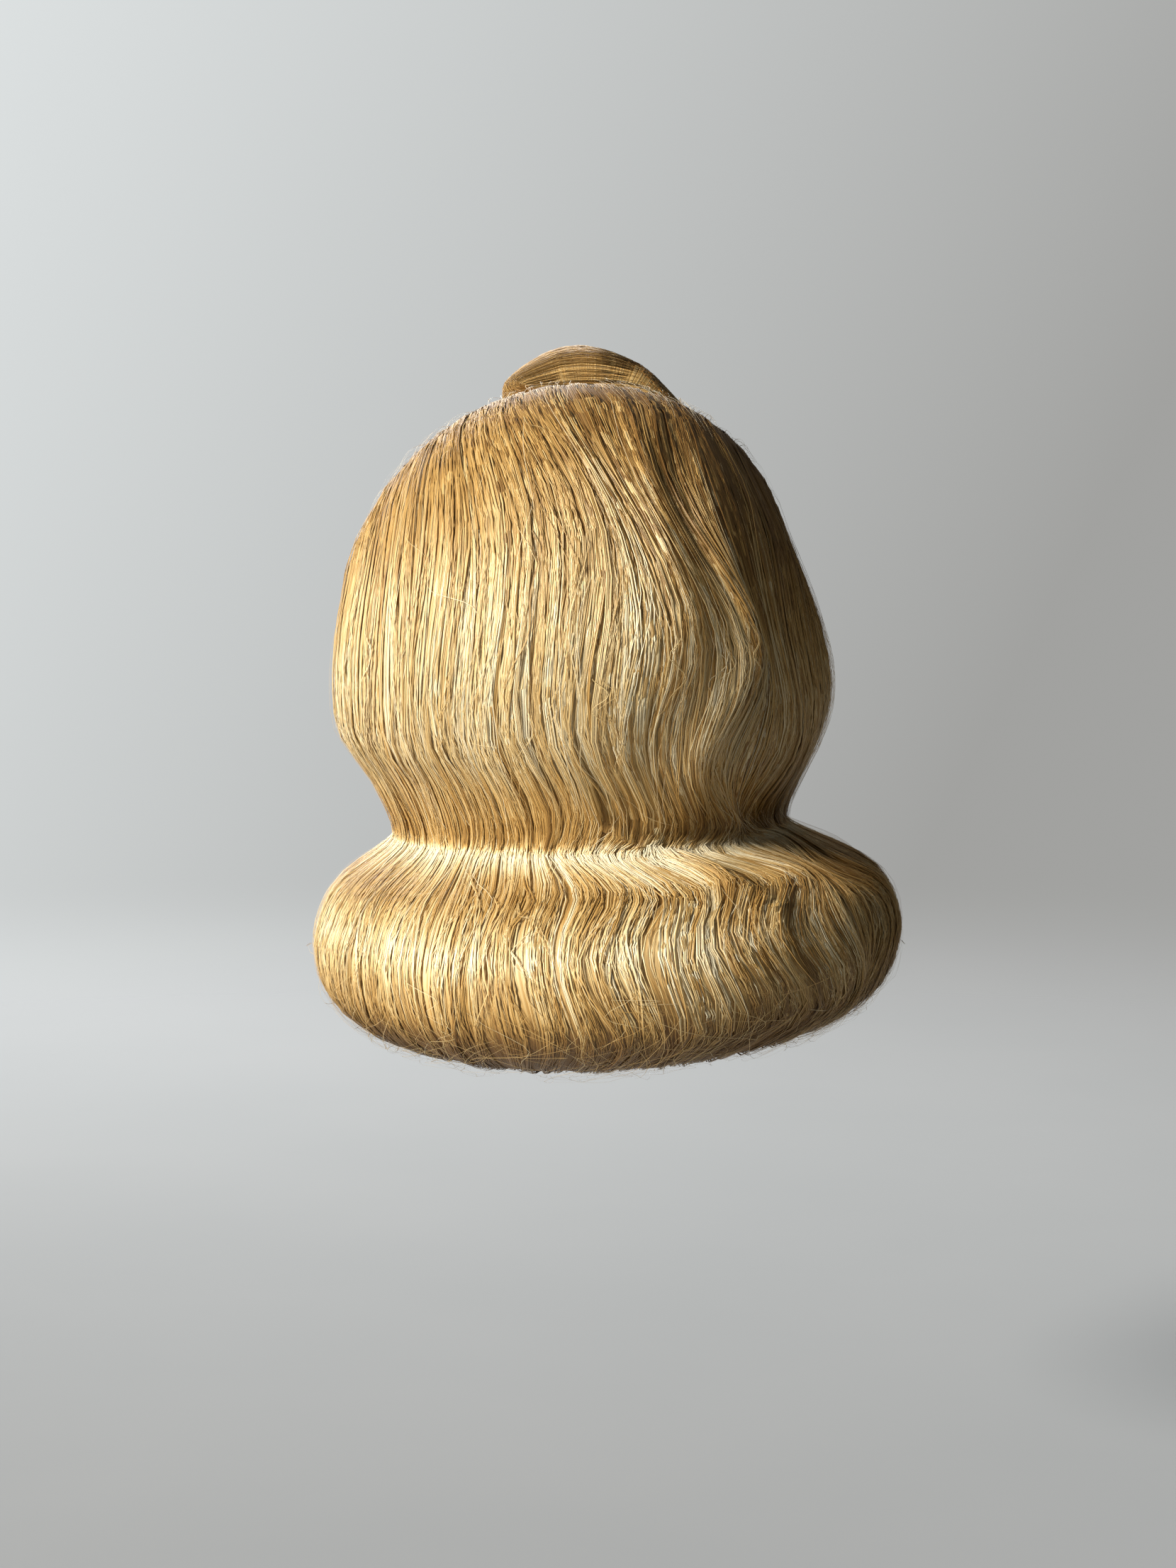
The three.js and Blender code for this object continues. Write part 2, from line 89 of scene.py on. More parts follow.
COIL_TURN_GAP = 0.003
HAIR_ROUND = 2 * math.pi * CROWN_HALF_WIDTH

# Degrees round from the back, and how many degrees down from the top of the head the cap's edge lies.
CAP_EDGE = np.array(
    [[0, 124], [30, 120], [58, 108], [80, 92], [103, 98], [122, 84], [142, 68], [162, 60], [180, 57]], float
)

# Shares of the crown's sizes: front, front fall, back, back fall, width, wrap in degrees, wall, sway.
CROWN_SHARES = [
    [0.43, 0.394, 0.0, 0.0, 0.76, 90, 0.4, 0.3],
    [0.52, 0.453, 0.33, 0.01, 0.845, 97, 0.66, 1.2],
    [0.59, 0.517, 0.64, 0.108, 0.893, 103, 0.84, 1.7],
    [0.64, 0.586, 0.86, 0.266, 0.933, 109, 0.94, 1.5],
    [0.69, 0.655, 0.98, 0.453, 0.973, 114, 1.0, 1.2],
    [0.74, 0.729, 1.0, 0.64, 0.99, 117, 1.0, 1.0],
    [0.81, 0.808, 0.92, 0.8, 0.955, 120, 0.88, 1.1],
    [0.9, 0.9, 0.81, 0.912, 0.85, 122, 0.76, 0.6],
]

# Shares of the roll's sizes: fall, out from the tuck to the belly, wall, sway, tilt.
ROLL_SHARES = [
    [0.0, 0.32, 0.98, 0.3, 0.5],
    [0.045, 0.335, 0.94, 0.2, 0.6],
    [0.1, 0.43, 0.94, 0.0, 0.7],
    [0.165, 0.6, 0.94, -0.3, 0.8],
    [0.24, 0.78, 0.96, -0.6, 0.9],
    [0.35, 0.92, 1.0, -0.9, 1.0],
    [0.54, 1.0, 1.0, -1.0, 1.0],
    [0.75, 0.94, 0.98, -1.0, 1.0],
    [0.88, 0.79, 0.92, -1.0, 1.0],
    [0.96, 0.6, 0.85, -1.0, 1.0],
    [1.0, 0.38, 0.77, -1.0, 1.0],
    [0.96, 0.17, 0.69, -0.9, 1.0],
    [0.85, 0.04, 0.6, -0.7, 1.0],
    [0.71, 0.0, 0.5, -0.5, 1.0],
    [0.57, 0.02, 0.42, -0.3, 1.0],
    [0.46, 0.08, 0.32, -0.2, 1.0],
]
ROLL_CORE = [0.62, 0.46, 0.0, -1.0, 1.0]
WAIST_ROW = len(CROWN_SHARES)
TIP_ROW = WAIST_ROW + len(ROLL_SHARES) - 1

# Where a wave lies across, its half width, its swing, how often it swings down to the waist, and its phase.
LOCK_WAVES = [
    [0.3, 0.12, 1.35, 2.2, 0.1],
    [0.44, 0.1, 1.7, 2.3, 0.45],
    [0.58, 0.09, 0.7, 1.9, 0.05],
    [0.82, 0.14, -0.3, 1.2, 0.25],
]

# The crossing lock by section: where it lies across and how far it stands out.
CROSS_LOCK = np.array(
    [[6.2, 0.535, 0], [7.4, 0.505, 0.8], [8.6, 0.465, 1], [10.2, 0.42, 1], [12, 0.385, 0.9], [14.2, 0.37, 0]]
)

# The coil along its length: share, top, width, and how far up its hub lies.
COIL_PROFILE = np.array(
    [
        [0.0, 0.36, 0.74, 0.3],
        [0.1, 0.68, 0.86, 0.3],
        [0.24, 0.9, 0.95, 0.32],
        [0.42, 0.99, 1.0, 0.36],
        [0.62, 0.94, 1.0, 0.42],
        [0.82, 0.76, 0.97, 0.47],
        [1.0, 0.48, 0.91, 0.5],
    ]
)

# How the combed hair drifts aside: share across, place, half width, and its first and last section.
COMB_DRIFTS = [[-0.11, 0.51, 0.16, 0.0, 4.8], [-0.034, 0.36, 0.15, 8.0, 15.0]]

# How much paler or darker the set hair is by section, as painted sheen and painted shade: golden and darker
# at the crown's top, the waist and under the roll, pale with painted sheen where it swells.
SET_SHEEN_AND_SHADE = np.array(
    [
        [0.0, -0.46],
        [1.6, -0.46],
        [3.1, -0.26],
        [4.6, 0.08],
        [6.0, 0.06],
        [7.3, -0.24],
        [8.6, -0.46],
        [9.2, 0.74],
        [9.9, 0.36],
        [10.7, 0.0],
        [11.8, -0.26],
        [13.4, 0.13],
        [14.7, -0.24],
        [16.0, -0.9],
        [19.0, -0.7],
        [23.0, -0.5],
    ]
)

# The same by place across, from the wearer's right to the left: painted shade on the wearer's right, away
# from the window light, and painted light on the wearer's left, which faces it.
SIDE_LIGHT_AND_SHADE = np.array([[0.0, -0.08], [0.28, -0.18], [0.5, -0.03], [0.68, 0.12], [0.86, 0.12], [1.0, 0.0]])

# Single curls of the combed hair near the waist: place across, half width, section, sections, swing.
CURLS = [
    [0.33, 0.09, 7.3, 1.3, 0.014],
    [0.42, 0.11, 10.6, 2.4, -0.012],
    [0.27, 0.10, 11.0, 2.2, -0.003],
    [0.60, 0.12, 5.3, 1.3, 0.0085],
    [0.59, 0.10, 3.0, 1.1, -0.0075],
]
# How far the combed hair swings and ripples. Ripples: share, waves across, waves to a section, phase.
SWING = 1.3 * LOCK_SWING
RIPPLE = 0.0014
RIPPLES = [[1.0, 9, 0.21, 0.0], [0.7, 17, -0.16, 0.3]]

# The narrow locks that it parts into: how many, how deep, and the spread of their widths and heights.
CLUMPS = 86
CLUMP_DEPTH = 0.0005
CLUMP_WIDTHS, CLUMP_HEIGHTS = (0.3, 2.1), (0.3, 1.0)
RIDGE_SHARE = 0.12

# How the walls are eased: the hollow at the waist in sections, the edges, and the roots at the parting.
WAIST_EASE, WAIST_AT, WAIST_SPREAD = 0.9, WAIST_ROW + 0.1, 1.3
EDGE_ROUND, NOSE = 0.03, 0.42
ROOT_ROUND, ROOT_DEPTH = 0.5, 0.72
BODY_SINK = 0.0006

# The low pressed waves: depth, how many to a section, slant, bends, and how much they turn the shine.
WAVE_DEPTH, WAVE_ROWS, WAVE_SLANT, WAVE_BEND, WAVE_BENDS, WAVE_SHEEN = 0.0014, 0.3, 5.2, 0.35, 3.1, 1.6

# Where they are pressed in: share, place, half width, and the sections of start, full depth, fading and end.
PRESSED_WAVES = [
    [1.0, 0.43, 0.19, 1.0, 2.6, 7.4, 8.6],
    [0.4, 0.36, 0.2, 9.4, 11.0, 14.0, 16.5],
]

# A strand's cross section, and how far its normals lean to its sides.
SIDES = 3
STRAND_FLATNESS = 0.2
STRAND_LEAN = 1.0

# How wisps gather into locks, and how much more they wander in the middle of the crown.
GATHER = 0.36
MIDDLE_WANDER, MIDDLE_AT, MIDDLE_WIDTH, WANDER_MOST = 5.5, 0.46, 0.17, 1.8

# The wisps' tone: its mean, the locks' share in it, and how much more it varies near one place.
WISP_TONE, LOCK_TONE, TONE_LEAST, TONE_SPREAD, TONE_AT, TONE_WIDTH = 0.54, 0.06, 0.09, 0.14, 0.42, 0.19

# Batches of the back hair: wisps, strands in each, the sections where they start and where they end, and in
# millimetres how far the strands spread, rise and wander, and their half thickness.
CROWN_BATCHES = [
    [255, 6, (0.0, 0.35), (8.4, 11.2), 1.5, 0.5, 0.3, 0.34],
    [45, 4, (0.2, 3.0), (6.0, 9.6), 0.8, 2.0, 2.0, 0.34],
    [80, 2, (0.5, 5.0), (5.0, 10.5), 3.0, 3.4, 4.0, 0.2],
]
ROLL_BATCHES = [
    [198, 6, (5.8, 7.9), (16.0, 20.5), 1.8, 0.7, 0.3, 0.34],
    [40, 3, (8.5, 12.5), (15.0, 19.5), 1.0, 1.8, 2.2, 0.34],
    [60, 2, (8.0, 12.0), (14.0, 18.5), 3.0, 3.4, 4.0, 0.2],
]
WAIST_BATCH = [80, 5, (4.0, 6.5), (11.0, 15.5), 1.4, 1.8, 0.3, 0.34]
EDGE_BATCHES = [
    [20, 5, (0.3, 1.5), (7.0, 9.5), 0.8, 0.5, 0.6, 0.34],
    [20, 5, (6.5, 9.0), (17.0, 22.5), 0.8, 0.5, 0.6, 0.34],
]

# Batches on the inner side: strands, the sections where they start and end, and if they clear the head.
INNER_BATCHES = [[66, (1.0, 2.5), (7.0, 8.0), True], [84, (8.0, 9.5), (15.0, 22.0), False]]

# Places across of the front edges' outer and inner strands, on the wearer's right and left.
EDGES = [[(0.0005, 0.025), (0.001, 0.16)], [(0.975, 0.9995), (0.84, 0.999)]]

# Stray hairs: how many, the sections where they start and where they end, then length, rise, bend and half
# thickness in millimetres, how pale the root is, and the tone.
STRAY_BATCHES = [
    [260, (0.15, 0.4), (0.3, 1.6), 9.0, 2.4, 1.5, 0.12, 0.5, 0.7],
    [320, (0.6, 13.0), (1.5, 15.5), 14.0, 2.4, 3.0, 0.12, 0.0, 0.7],
    [420, (14.0, 18.0), (14.0, 18.5), 22.0, 4.5, 6.0, 0.11, 0.0, 0.5],
]

# How many strands the front hair, the coil and the hair that leads up to the coil have.
FRONT_STRANDS, COIL_STRANDS, FEEDER_STRANDS = 700, 800, 200

# Points along a strand: on the crown, on the roll, elsewhere, and on a short hair.
CROWN_STATIONS, ROLL_STATIONS, STATIONS, SHORT_STATIONS = 16, 17, 15, 9


# Form of the hair


def mix(a, b, t):
    return a + (b - a) * t


def smooth(low, high, x):
    t = np.clip((x - low) / (high - low), 0, 1)
    return t * t * (3 - 2 * t)


def bell(x, at, spread):
    return np.exp(-(((x - at) / spread) ** 2))


def wave(turns):
    return np.sin(2 * np.pi * turns)


def unit(v):
    return v / np.maximum(np.linalg.norm(v, axis=-1, keepdims=True), 1e-9)


def through(table, at):
    """Every column of a table at fractional rows, on smooth curves through its rows."""
    last = len(table) - 1
    i = np.clip(np.floor(at).astype(int), 0, last - 1)
    t = (at - i)[..., None]
    p0, p1, p2, p3 = (table[np.clip(i + k, 0, last)] for k in (-1, 0, 1, 2))
    slope1, slope2 = (p2 - p0) / 2, (p3 - p1) / 2
    return (
        (2 * t**3 - 3 * t**2 + 1) * p1
        + (t**3 - 2 * t**2 + t) * slope1
        + (-2 * t**3 + 3 * t**2) * p2
        + (t**3 - t**2) * slope2
    )


def row_at(column, wanted):
    return np.interp(wanted, column, np.arange(len(column)))


def crown_section(shares):
    """A section of the crown from its shares, with its values in the order of on_section."""
    front, front_fall, back, back_fall, width, wrap, wall, sway = shares
    fall = CROWN_RISE + WAIST_DROP
    return [
        -EDGE_REACH * front,
        CROWN_RISE - fall * front_fall,
        CROWN_REACH * back,
        CROWN_RISE - fall * back_fall,
        CROWN_HALF_WIDTH * width,
        math.radians(wrap),
        CROWN_WALL * wall,
        CROWN_EDGE_WALL,
        SWAY * sway,
        0.0,
    ]


def roll_section(shares):
    """A section of the roll from its shares, with its values in the order of on_section."""
    fall, out, wall, sway, tilt = shares
    drop = HEM_DROP - WAIST_DROP
    return [
        -mix(TUCK_FRONT, BELLY_FRONT, out),
        -WAIST_DROP - drop * fall * END_TAPER,
        mix(TUCK_REACH, BELLY_REACH, out),
        -WAIST_DROP - drop * fall,
        mix(TUCK_HALF_WIDTH, BELLY_HALF_WIDTH, out),
        math.radians(ROLL_WRAP),
        ROLL_WALL * wall,
        ROLL_WALL * wall,
        SWAY * sway,
        HEM_TILT * tilt,
    ]


SECTIONS = np.array([crown_section(s) for s in CROWN_SHARES] + [roll_section(s) for s in ROLL_SHARES])
CORE_SECTION = np.array(roll_section(ROLL_CORE))
HEAD_MIDDLE = np.array([0.0, 0.0, -HEAD_DOME])


def on_section(s, u):
    """The place across a section, from the right front edge (u 0) round the back to the left (u 1)."""
    front, front_z, back, back_z, width, wrap, _wall, _edge, sway, tilt = np.moveaxis(s, -1, 0)
    angle = mix(-wrap, wrap, u)
    backward = (np.cos(angle) - np.cos(wrap)) / (1 - np.cos(wrap))
    x = sway + width * np.sin(angle)
    z = mix(front_z, back_z, backward) - tilt * np.sin(angle)
    return np.stack([x, mix(front, back, backward), z], -1)


def hair_surface(u, row):
    """The back hair's surface, with the turn at the waist eased into a soft hollow."""
    at = on_section(through(SECTIONS, row), u)
    eased = bell(row, WAIST_AT, WAIST_SPREAD)[..., None]
    near = [on_section(through(SECTIONS, row + step), u) for step in (-WAIST_EASE, WAIST_EASE)]
    return mix(at, (at + near[0] + near[1]) / 3, eased)


def steps_on_surface(u, row, aside, rows):
    """Short steps across and along the back hair's surface."""
    across = hair_surface(np.minimum(u + aside, 1), row) - hair_surface(np.maximum(u - aside, 0), row)
    along = hair_surface(u, np.minimum(row + rows, TIP_ROW)) - hair_surface(u, np.maximum(row - rows, 0))
    return across, along


def hair_outward(u, row):
    """The way out of the back hair, straight from the head at the parting."""
    radial = unit(hair_surface(u, row) - HEAD_MIDDLE)
    square = unit(np.cross(*steps_on_surface(u, row, 0.02, 0.02)))
    return unit(mix(radial, square, smooth(2, 5, row)[..., None]))


def combed(m, row):
    """Where hair rooted at m has got to across, once it has drifted and swung on its way down."""
    swung = drift = np.zeros_like(m * row)
    for at, spread, swing, waves, phase in LOCK_WAVES:
        swung = swung + SWING * swing * bell(m, at, spread) * wave(waves * row / WAIST_ROW + phase)
    for at, spread, section, sections, swing in CURLS:
        swung = swung + swing * bell(m, at, spread) * bell(row, section, sections)
    for share, across, down, phase in RIPPLES:
        swung = swung + RIPPLE * share * wave(across * m + down * row + phase)
    for share, at, spread, start, end in COMB_DRIFTS:
        drift = drift + share * bell(m, at, spread) * smooth(start, end, row)
    held = smooth(0, 0.1, m) * smooth(1, 0.9, m)
    return np.clip(m + held * (swung / HAIR_ROUND * smooth(0, 1.5, row) + drift), 0, 1)


def painted_sheen_and_shade(m, row):
    """How much paler or darker the set hair is at a place across and a section: its painted sheen and painted
    shade.
    """
    return np.interp(row, SET_SHEEN_AND_SHADE[:, 0], SET_SHEEN_AND_SHADE[:, 1]) + np.interp(m, SIDE_LIGHT_AND_SHADE[:, 0], SIDE_LIGHT_AND_SHADE[:, 1])


def finger_wave(m, row):
    """The low waves that are pressed into the middle of the crown and the top of the roll."""
    pressed = 0.0
    for share, at, spread, start, full, fade, end in PRESSED_WAVES:
        pressed = pressed + share * smooth(start, full, row) * smooth(end, fade, row) * bell(m, at, spread)
    return WAVE_DEPTH * pressed * wave(WAVE_ROWS * row - WAVE_SLANT * m + WAVE_BEND * wave(WAVE_BENDS * m))


def waved(m, row, place, outward):
    """The way out of the hair, leaning with the slopes of the pressed waves."""
    aside, rows = 0.004, 0.1
    across, along = steps_on_surface(place, row, aside, rows)
    tilt = finger_wave(m + aside, row) - finger_wave(m - aside, row)
    rise = finger_wave(m, row + rows) - finger_wave(m, row - rows)
    for way, change in ((across, tilt), (along, rise)):
        slope = change / np.maximum((way**2).sum(-1), 1e-8)
        outward = outward - WAVE_SHEEN * way * slope[..., None]
    return unit(outward)


def cross_lock(u, row):
    """How far the lock that crosses the others at the waist stands out."""
    at = row_at(CROSS_LOCK[:, 0], row)
    _section, middle, rise = np.moveaxis(through(CROSS_LOCK, at), -1, 0)
    inside = (row > CROSS_LOCK[0, 0]) & (row < CROSS_LOCK[-1, 0])
    near = bell(u, middle, CROSS_LOCK_HALF_WIDTH / HAIR_ROUND)
    return np.where(inside, CROSS_LOCK_RISE * rise * near, 0)


class Locks:
    """The narrow locks that the hair parts into, side by side from the right front edge to the left."""

    def __init__(self, rng):
        widths = rng.uniform(*CLUMP_WIDTHS, CLUMPS)
        self.edges = np.concatenate([[0], np.cumsum(widths) / widths.sum()])
        self.middle = (self.edges[1:] + self.edges[:-1]) / 2
        self.half = (self.edges[1:] - self.edges[:-1]) / 2
        self.height = rng.uniform(*CLUMP_HEIGHTS, CLUMPS)
        self.tone = rng.uniform(-1, 1, CLUMPS)
        self.part_phase = rng.uniform(0, 1, CLUMPS)

    def of(self, m):
        return np.clip(np.searchsorted(self.edges, m, side="right") - 1, 0, CLUMPS - 1)

    def crest(self, m, row):
        """1 along the middle of a lock and 0 in the gap beside it."""
        k = self.of(m)
        aside = np.clip(np.abs(m - self.middle[k]) / self.half[k], 0, 1)
        return 1 - aside ** (2.4 - 0.8 * wave(0.3 * row + self.part_phase[k]))

    def relief(self, m, row):
        """How far the locks stand out, deeper from the parting down."""
        k = self.of(m)
        deep = mix(0.35, 1, smooth(0.5, 4, row))
        return CLUMP_DEPTH * deep * (self.crest(m, row) * (0.5 + 0.9 * self.height[k]) - 0.6)


def nose(share, width):
    """How far a wall has closed on itself near its edge, as a share of its thickness."""
    t = np.clip(1 - share / width, 0, 1)
    return NOSE * (1 - np.sqrt(1 - t * t))


def closing(m, row):
    """The share of its thickness by which the wall closes from each side at the front edges and the tips."""
    return np.maximum(nose(np.minimum(m, 1 - m), EDGE_ROUND), nose(TIP_ROW - row, 1.0))


def rooting(row):
    """The share of its thickness by which the outer skin dives to the scalp at the parting."""
    return ROOT_DEPTH / NOSE * nose(row, ROOT_ROUND)


def wall_at(m, row):
    """The hair's thickness, thinner towards the front edges."""
    s = through(SECTIONS, row)
    return mix(s[..., 7], s[..., 6], smooth(0, 0.12, np.minimum(m, 1 - m)))


def hair_point(locks, m, row, lift):
    """A point over the back hair's outer surface, at the place where hair rooted at m lies."""
    m, row, lift = np.broadcast_arrays(m, row, lift)
    place = combed(m, row)
    fade = smooth(0, 1, row) * smooth(TIP_ROW, TIP_ROW - 4, row)
    ridge = -RIDGE_SHARE * LOCK_DEPTH * np.cos(2 * np.pi * LOCKS * m)
    out = (ridge + locks.relief(m, row)) * fade + finger_wave(m, row) + cross_lock(place, row) + lift
    out = out - np.maximum(closing(m, row), rooting(row)) * wall_at(m, row)
    outward = hair_outward(place, row)
    return hair_surface(place, row) + outward * out[..., None], waved(m, row, place, outward)


def hair_inside(m, row, keep_out):
    """A point on the back hair's inner surface. The crown's keeps out of the head's room."""
    place = combed(m, row)
    surface = hair_surface(place, row)
    outward = hair_outward(place, row)
    wall = wall_at(m, row)
    to_core = on_section(CORE_SECTION, place) - surface
    most = np.linalg.norm(to_core, axis=-1) * (1 - CORE_SHARE)
    in_roll = smooth(WAIST_ROW + 2, WAIST_ROW + 5, row)
    inward = unit(mix(-outward, unit(to_core), in_roll[..., None]))
    depth = mix(wall, np.minimum(wall, most), in_roll) * (1 - closing(m, row))
    point = surface + inward * depth[..., None]
    return clear_of_head(point, CAP_WALL + SEAT_GAP) if keep_out else point


def clear_of_head(point, grown):
    """Moves what lies inside the head, grown by a distance, out onto it."""
    size = np.array([HEAD_HALF_WIDTH, HEAD_HALF_DEPTH, HEAD_DOME]) + grown
    from_middle = point - HEAD_MIDDLE
    share = np.linalg.norm(from_middle / size, axis=-1, keepdims=True)
    return np.where(share < 1, HEAD_MIDDLE + from_middle / np.maximum(share, 1e-6), point)


def head_point(turn, down, grown):
    """A point over the head, by the angle round from the back and the angle down from the top."""
    return np.stack(
        [
            (HEAD_HALF_WIDTH + grown) * np.sin(down) * np.sin(turn),
            (HEAD_HALF_DEPTH + grown) * np.sin(down) * np.cos(turn),
            (HEAD_DOME + grown) * np.cos(down) - HEAD_DOME,
        ],
        -1,
    )


def cap_edge(turn):
    """How far down the cap's edge lies, as an angle."""
    folded = np.abs((np.degrees(turn) + 180) % 360 - 180)
    return np.radians(through(CAP_EDGE, row_at(CAP_EDGE[:, 0], folded))[..., 1])


def sweep_point(u, v, grown):
    """The front hair on the head's form, from the hairline (v 0) back to the parting (v 1)."""
    ends, temple = 0.04, 76
    part = unit(hair_surface(mix(ends, 1 - ends, u), np.zeros_like(u)) + [0, -0.5 * MM, 0] - HEAD_MIDDLE)
    turn = np.radians(180 + mix(temple, -temple, u))
    hairline = unit(head_point(turn, cap_edge(turn) - math.radians(1), 0.0) - HEAD_MIDDLE)
    way = unit(mix(hairline, part, v[..., None]))
    size = np.array([HEAD_HALF_WIDTH, HEAD_HALF_DEPTH, HEAD_DOME]) + np.asarray(grown)[..., None]
    return HEAD_MIDDLE + way / np.linalg.norm(way / size, axis=-1, keepdims=True)


# The coil, in degrees: where it starts, how far it turns in all, and how far it turns before it draws in.
COIL_START, COIL_TURNED, FIRST_PASS = 215, 640, 150

# Its foot on the swept hair, from the parting to the open front: how far aside and forward, and its wall.
FOOT_ASIDE, FOOT_FORWARD, FOOT_WALL, FOOT_TURN = (0.054, 0.036), (0.008, 0.074), 0.003, 0.11

# How it heaps up by the parting: share, shift aside at the foot and the peak, and its breadth as it rises.
COIL_HEAP, HEAP_SHIFT, HEAP_BREADTH = 0.85, (0.004, 0.007), (1.15, -0.72, 0.26)

# Its thickness at the tip, its lowest seat, how pointed its upper and lower halves are, and its least sizes.
TIP_SHARE, SEAT_MOST, PEAK, FULL, LEAST, LEAST_WALL = 0.45, 0.93, 1.12, 0.6, 0.001, 0.0003


def coil_foot(v, inward):
    """Where the coil's hair leaves the swept front hair, along the wearer's right side."""
    size = np.array([HEAD_HALF_WIDTH, HEAD_HALF_DEPTH, HEAD_DOME]) + CAP_WALL + SWEEP_WALL
    x, y = -mix(*FOOT_ASIDE, v) + FOOT_WALL * inward, -mix(*FOOT_FORWARD, v)
    z = size[2] * np.sqrt(1 - (x / size[0]) ** 2 - (y / size[1]) ** 2) - HEAD_DOME
    return np.stack([x, y, z], -1)


def coil_point(u, v, inward):
    """The rolled hair: u is the share of the way round and in, v from the parting to the open front."""
    profile = through(COIL_PROFILE, row_at(COIL_PROFILE[:, 0], v))
    y = -mix(COIL_BACK, HEAD_HALF_DEPTH - COIL_SETBACK, v)
    on_head = np.minimum(np.abs(y) / (HEAD_HALF_DEPTH + CAP_WALL), SEAT_MOST)
    seat = (HEAD_DOME + CAP_WALL) * np.sqrt(1 - on_head**2) - HEAD_DOME + SWEEP_WALL
    top = COIL_TOP * profile[..., 1]
    z = mix(seat, top, profile[..., 3])
    turned = COIL_TURNED * u
    angle = np.radians(COIL_START - turned)
    passes = np.where(turned < 360, np.clip((turned - FIRST_PASS) / (360 - FIRST_PASS), 0, 1), turned / 360)
    drawn_in = (COIL_WALL + COIL_TURN_GAP) * passes + inward * COIL_WALL * mix(1, TIP_SHARE, u)
    least = LEAST + LEAST_WALL * (1 - inward)

    def peaked(share):
        return np.sign(share) * np.abs(share) ** PEAK

    aside = np.sign(np.cos(angle)) * np.abs(np.cos(angle)) ** np.where(np.sin(angle) < 0, FULL, PEAK)
    x = -COIL_LEAN + np.maximum(COIL_HALF_WIDTH * profile[..., 2] - drawn_in, least) * aside
    height = z + np.maximum(top - z - drawn_in, least) * peaked(np.sin(angle))
    up = np.clip((height - seat) / (top - seat), 0, 1)
    heaped = COIL_HEAP * smooth(1.0, 0.7, v)
    breadth = HEAP_BREADTH[0] + HEAP_BREADTH[1] * up + HEAP_BREADTH[2] * up**2
    x = x * mix(1, breadth, heaped) + heaped * mix(*HEAP_SHIFT, up)
    point = mix(coil_foot(v, inward), np.stack([x, y, height], -1), smooth(0, FOOT_TURN, u)[..., None])
    return clear_of_head(point, CAP_WALL + SWEEP_WALL + SEAT_GAP * (1 + inward.max()))


# Meshes

# Places on the bake map: the outer and inner skin's top and bottom, the rims' strips, and the edge left free.
OUTER_CELL, INNER_CELL = (0.99, 0.32), (0.28, 0.01)
RIM_STRIPS, RIM_BREADTH = (0.285, 0.293, 0.301, 0.309), 0.006
BAKE_EDGE = 0.01


def inset(share):
    return mix(BAKE_EDGE, 1 - BAKE_EDGE, share)


class Wall:
    """Collects a closed wall's points and faces, with each corner's place on the flow and bake maps."""

    def __init__(self):
        self.points, self.faces, self.flow, self.cell, self.shade = [], [], [], [], []

    def add_points(self, grid, shade):
        start = sum(len(p) for p in self.points)
        self.points.append(grid.reshape(-1, 3))
        self.shade.append(np.broadcast_to(shade, grid.shape[:-1]).reshape(-1))
        return start + np.arange(grid[..., 0].size).reshape(grid.shape[:-1])

    def add_faces(self, corners, flow, cell):
        self.faces.extend(corners.tolist())
        self.flow.append(flow.reshape(-1, 2))
        self.cell.append(cell.reshape(-1, 2))

    def add_grid(self, ids, flow, cell, turned):
        def corners(a):
            quad = [a[:-1, :-1], a[1:, :-1], a[1:, 1:], a[:-1, 1:]]
            return np.stack(quad[::-1] if turned else quad, 2).reshape((-1, 4) + a.shape[2:])

        self.add_faces(corners(ids), corners(flow), corners(cell))

    def add_rim(self, fine, coarse, flow, strip):
        """Closes the wall's edge between an outer line and an inner line that has half as many points."""
        last = len(fine) - 1
        for i in range(len(coarse) - 1):
            a, b, c = ((fine[2 * i + k], 2 * i + k, 0) for k in range(3))
            d, e = ((coarse[i + k], 2 * (i + k), 1) for k in range(2))
            for face in ((a, d, b), (b, d, e), (b, e, c)):
                cells = [[inset(at / last), strip + RIM_BREADTH * inner] for _point, at, inner in face]
                self.faces.append([point for point, _at, _inner in face])
                self.flow.append(np.array([flow[at] for _point, at, _inner in face]))
                self.cell.append(np.array(cells))

    def mesh(self, name):
        made = bpy.data.meshes.new(name)
        made.from_pydata(np.concatenate(self.points).tolist(), [], self.faces)
        for layer, values in (("Flow", self.flow), ("OFBake", self.cell)):
            uv = made.uv_layers.new(name=layer)
            uv.data.foreach_set("uv", np.concatenate(values).astype(np.float32).ravel())
        shade = made.attributes.new("shade", "FLOAT", "POINT")
        shade.data.foreach_set("value", np.concatenate(self.shade).astype(np.float32))
        made.polygons.foreach_set("use_smooth", np.ones(len(made.polygons), bool))
        corners = np.concatenate(self.points)
        tris = np.array([[f[0], f[k], f[k + 1]] for f in self.faces for k in range(1, len(f) - 1)])
        a, b, c = (corners[tris[:, k]] for k in range(3))
        if np.einsum("ij,ij->i", a, np.cross(b, c)).sum() < 0:
            made.flip_normals()
        made.update()
        return made


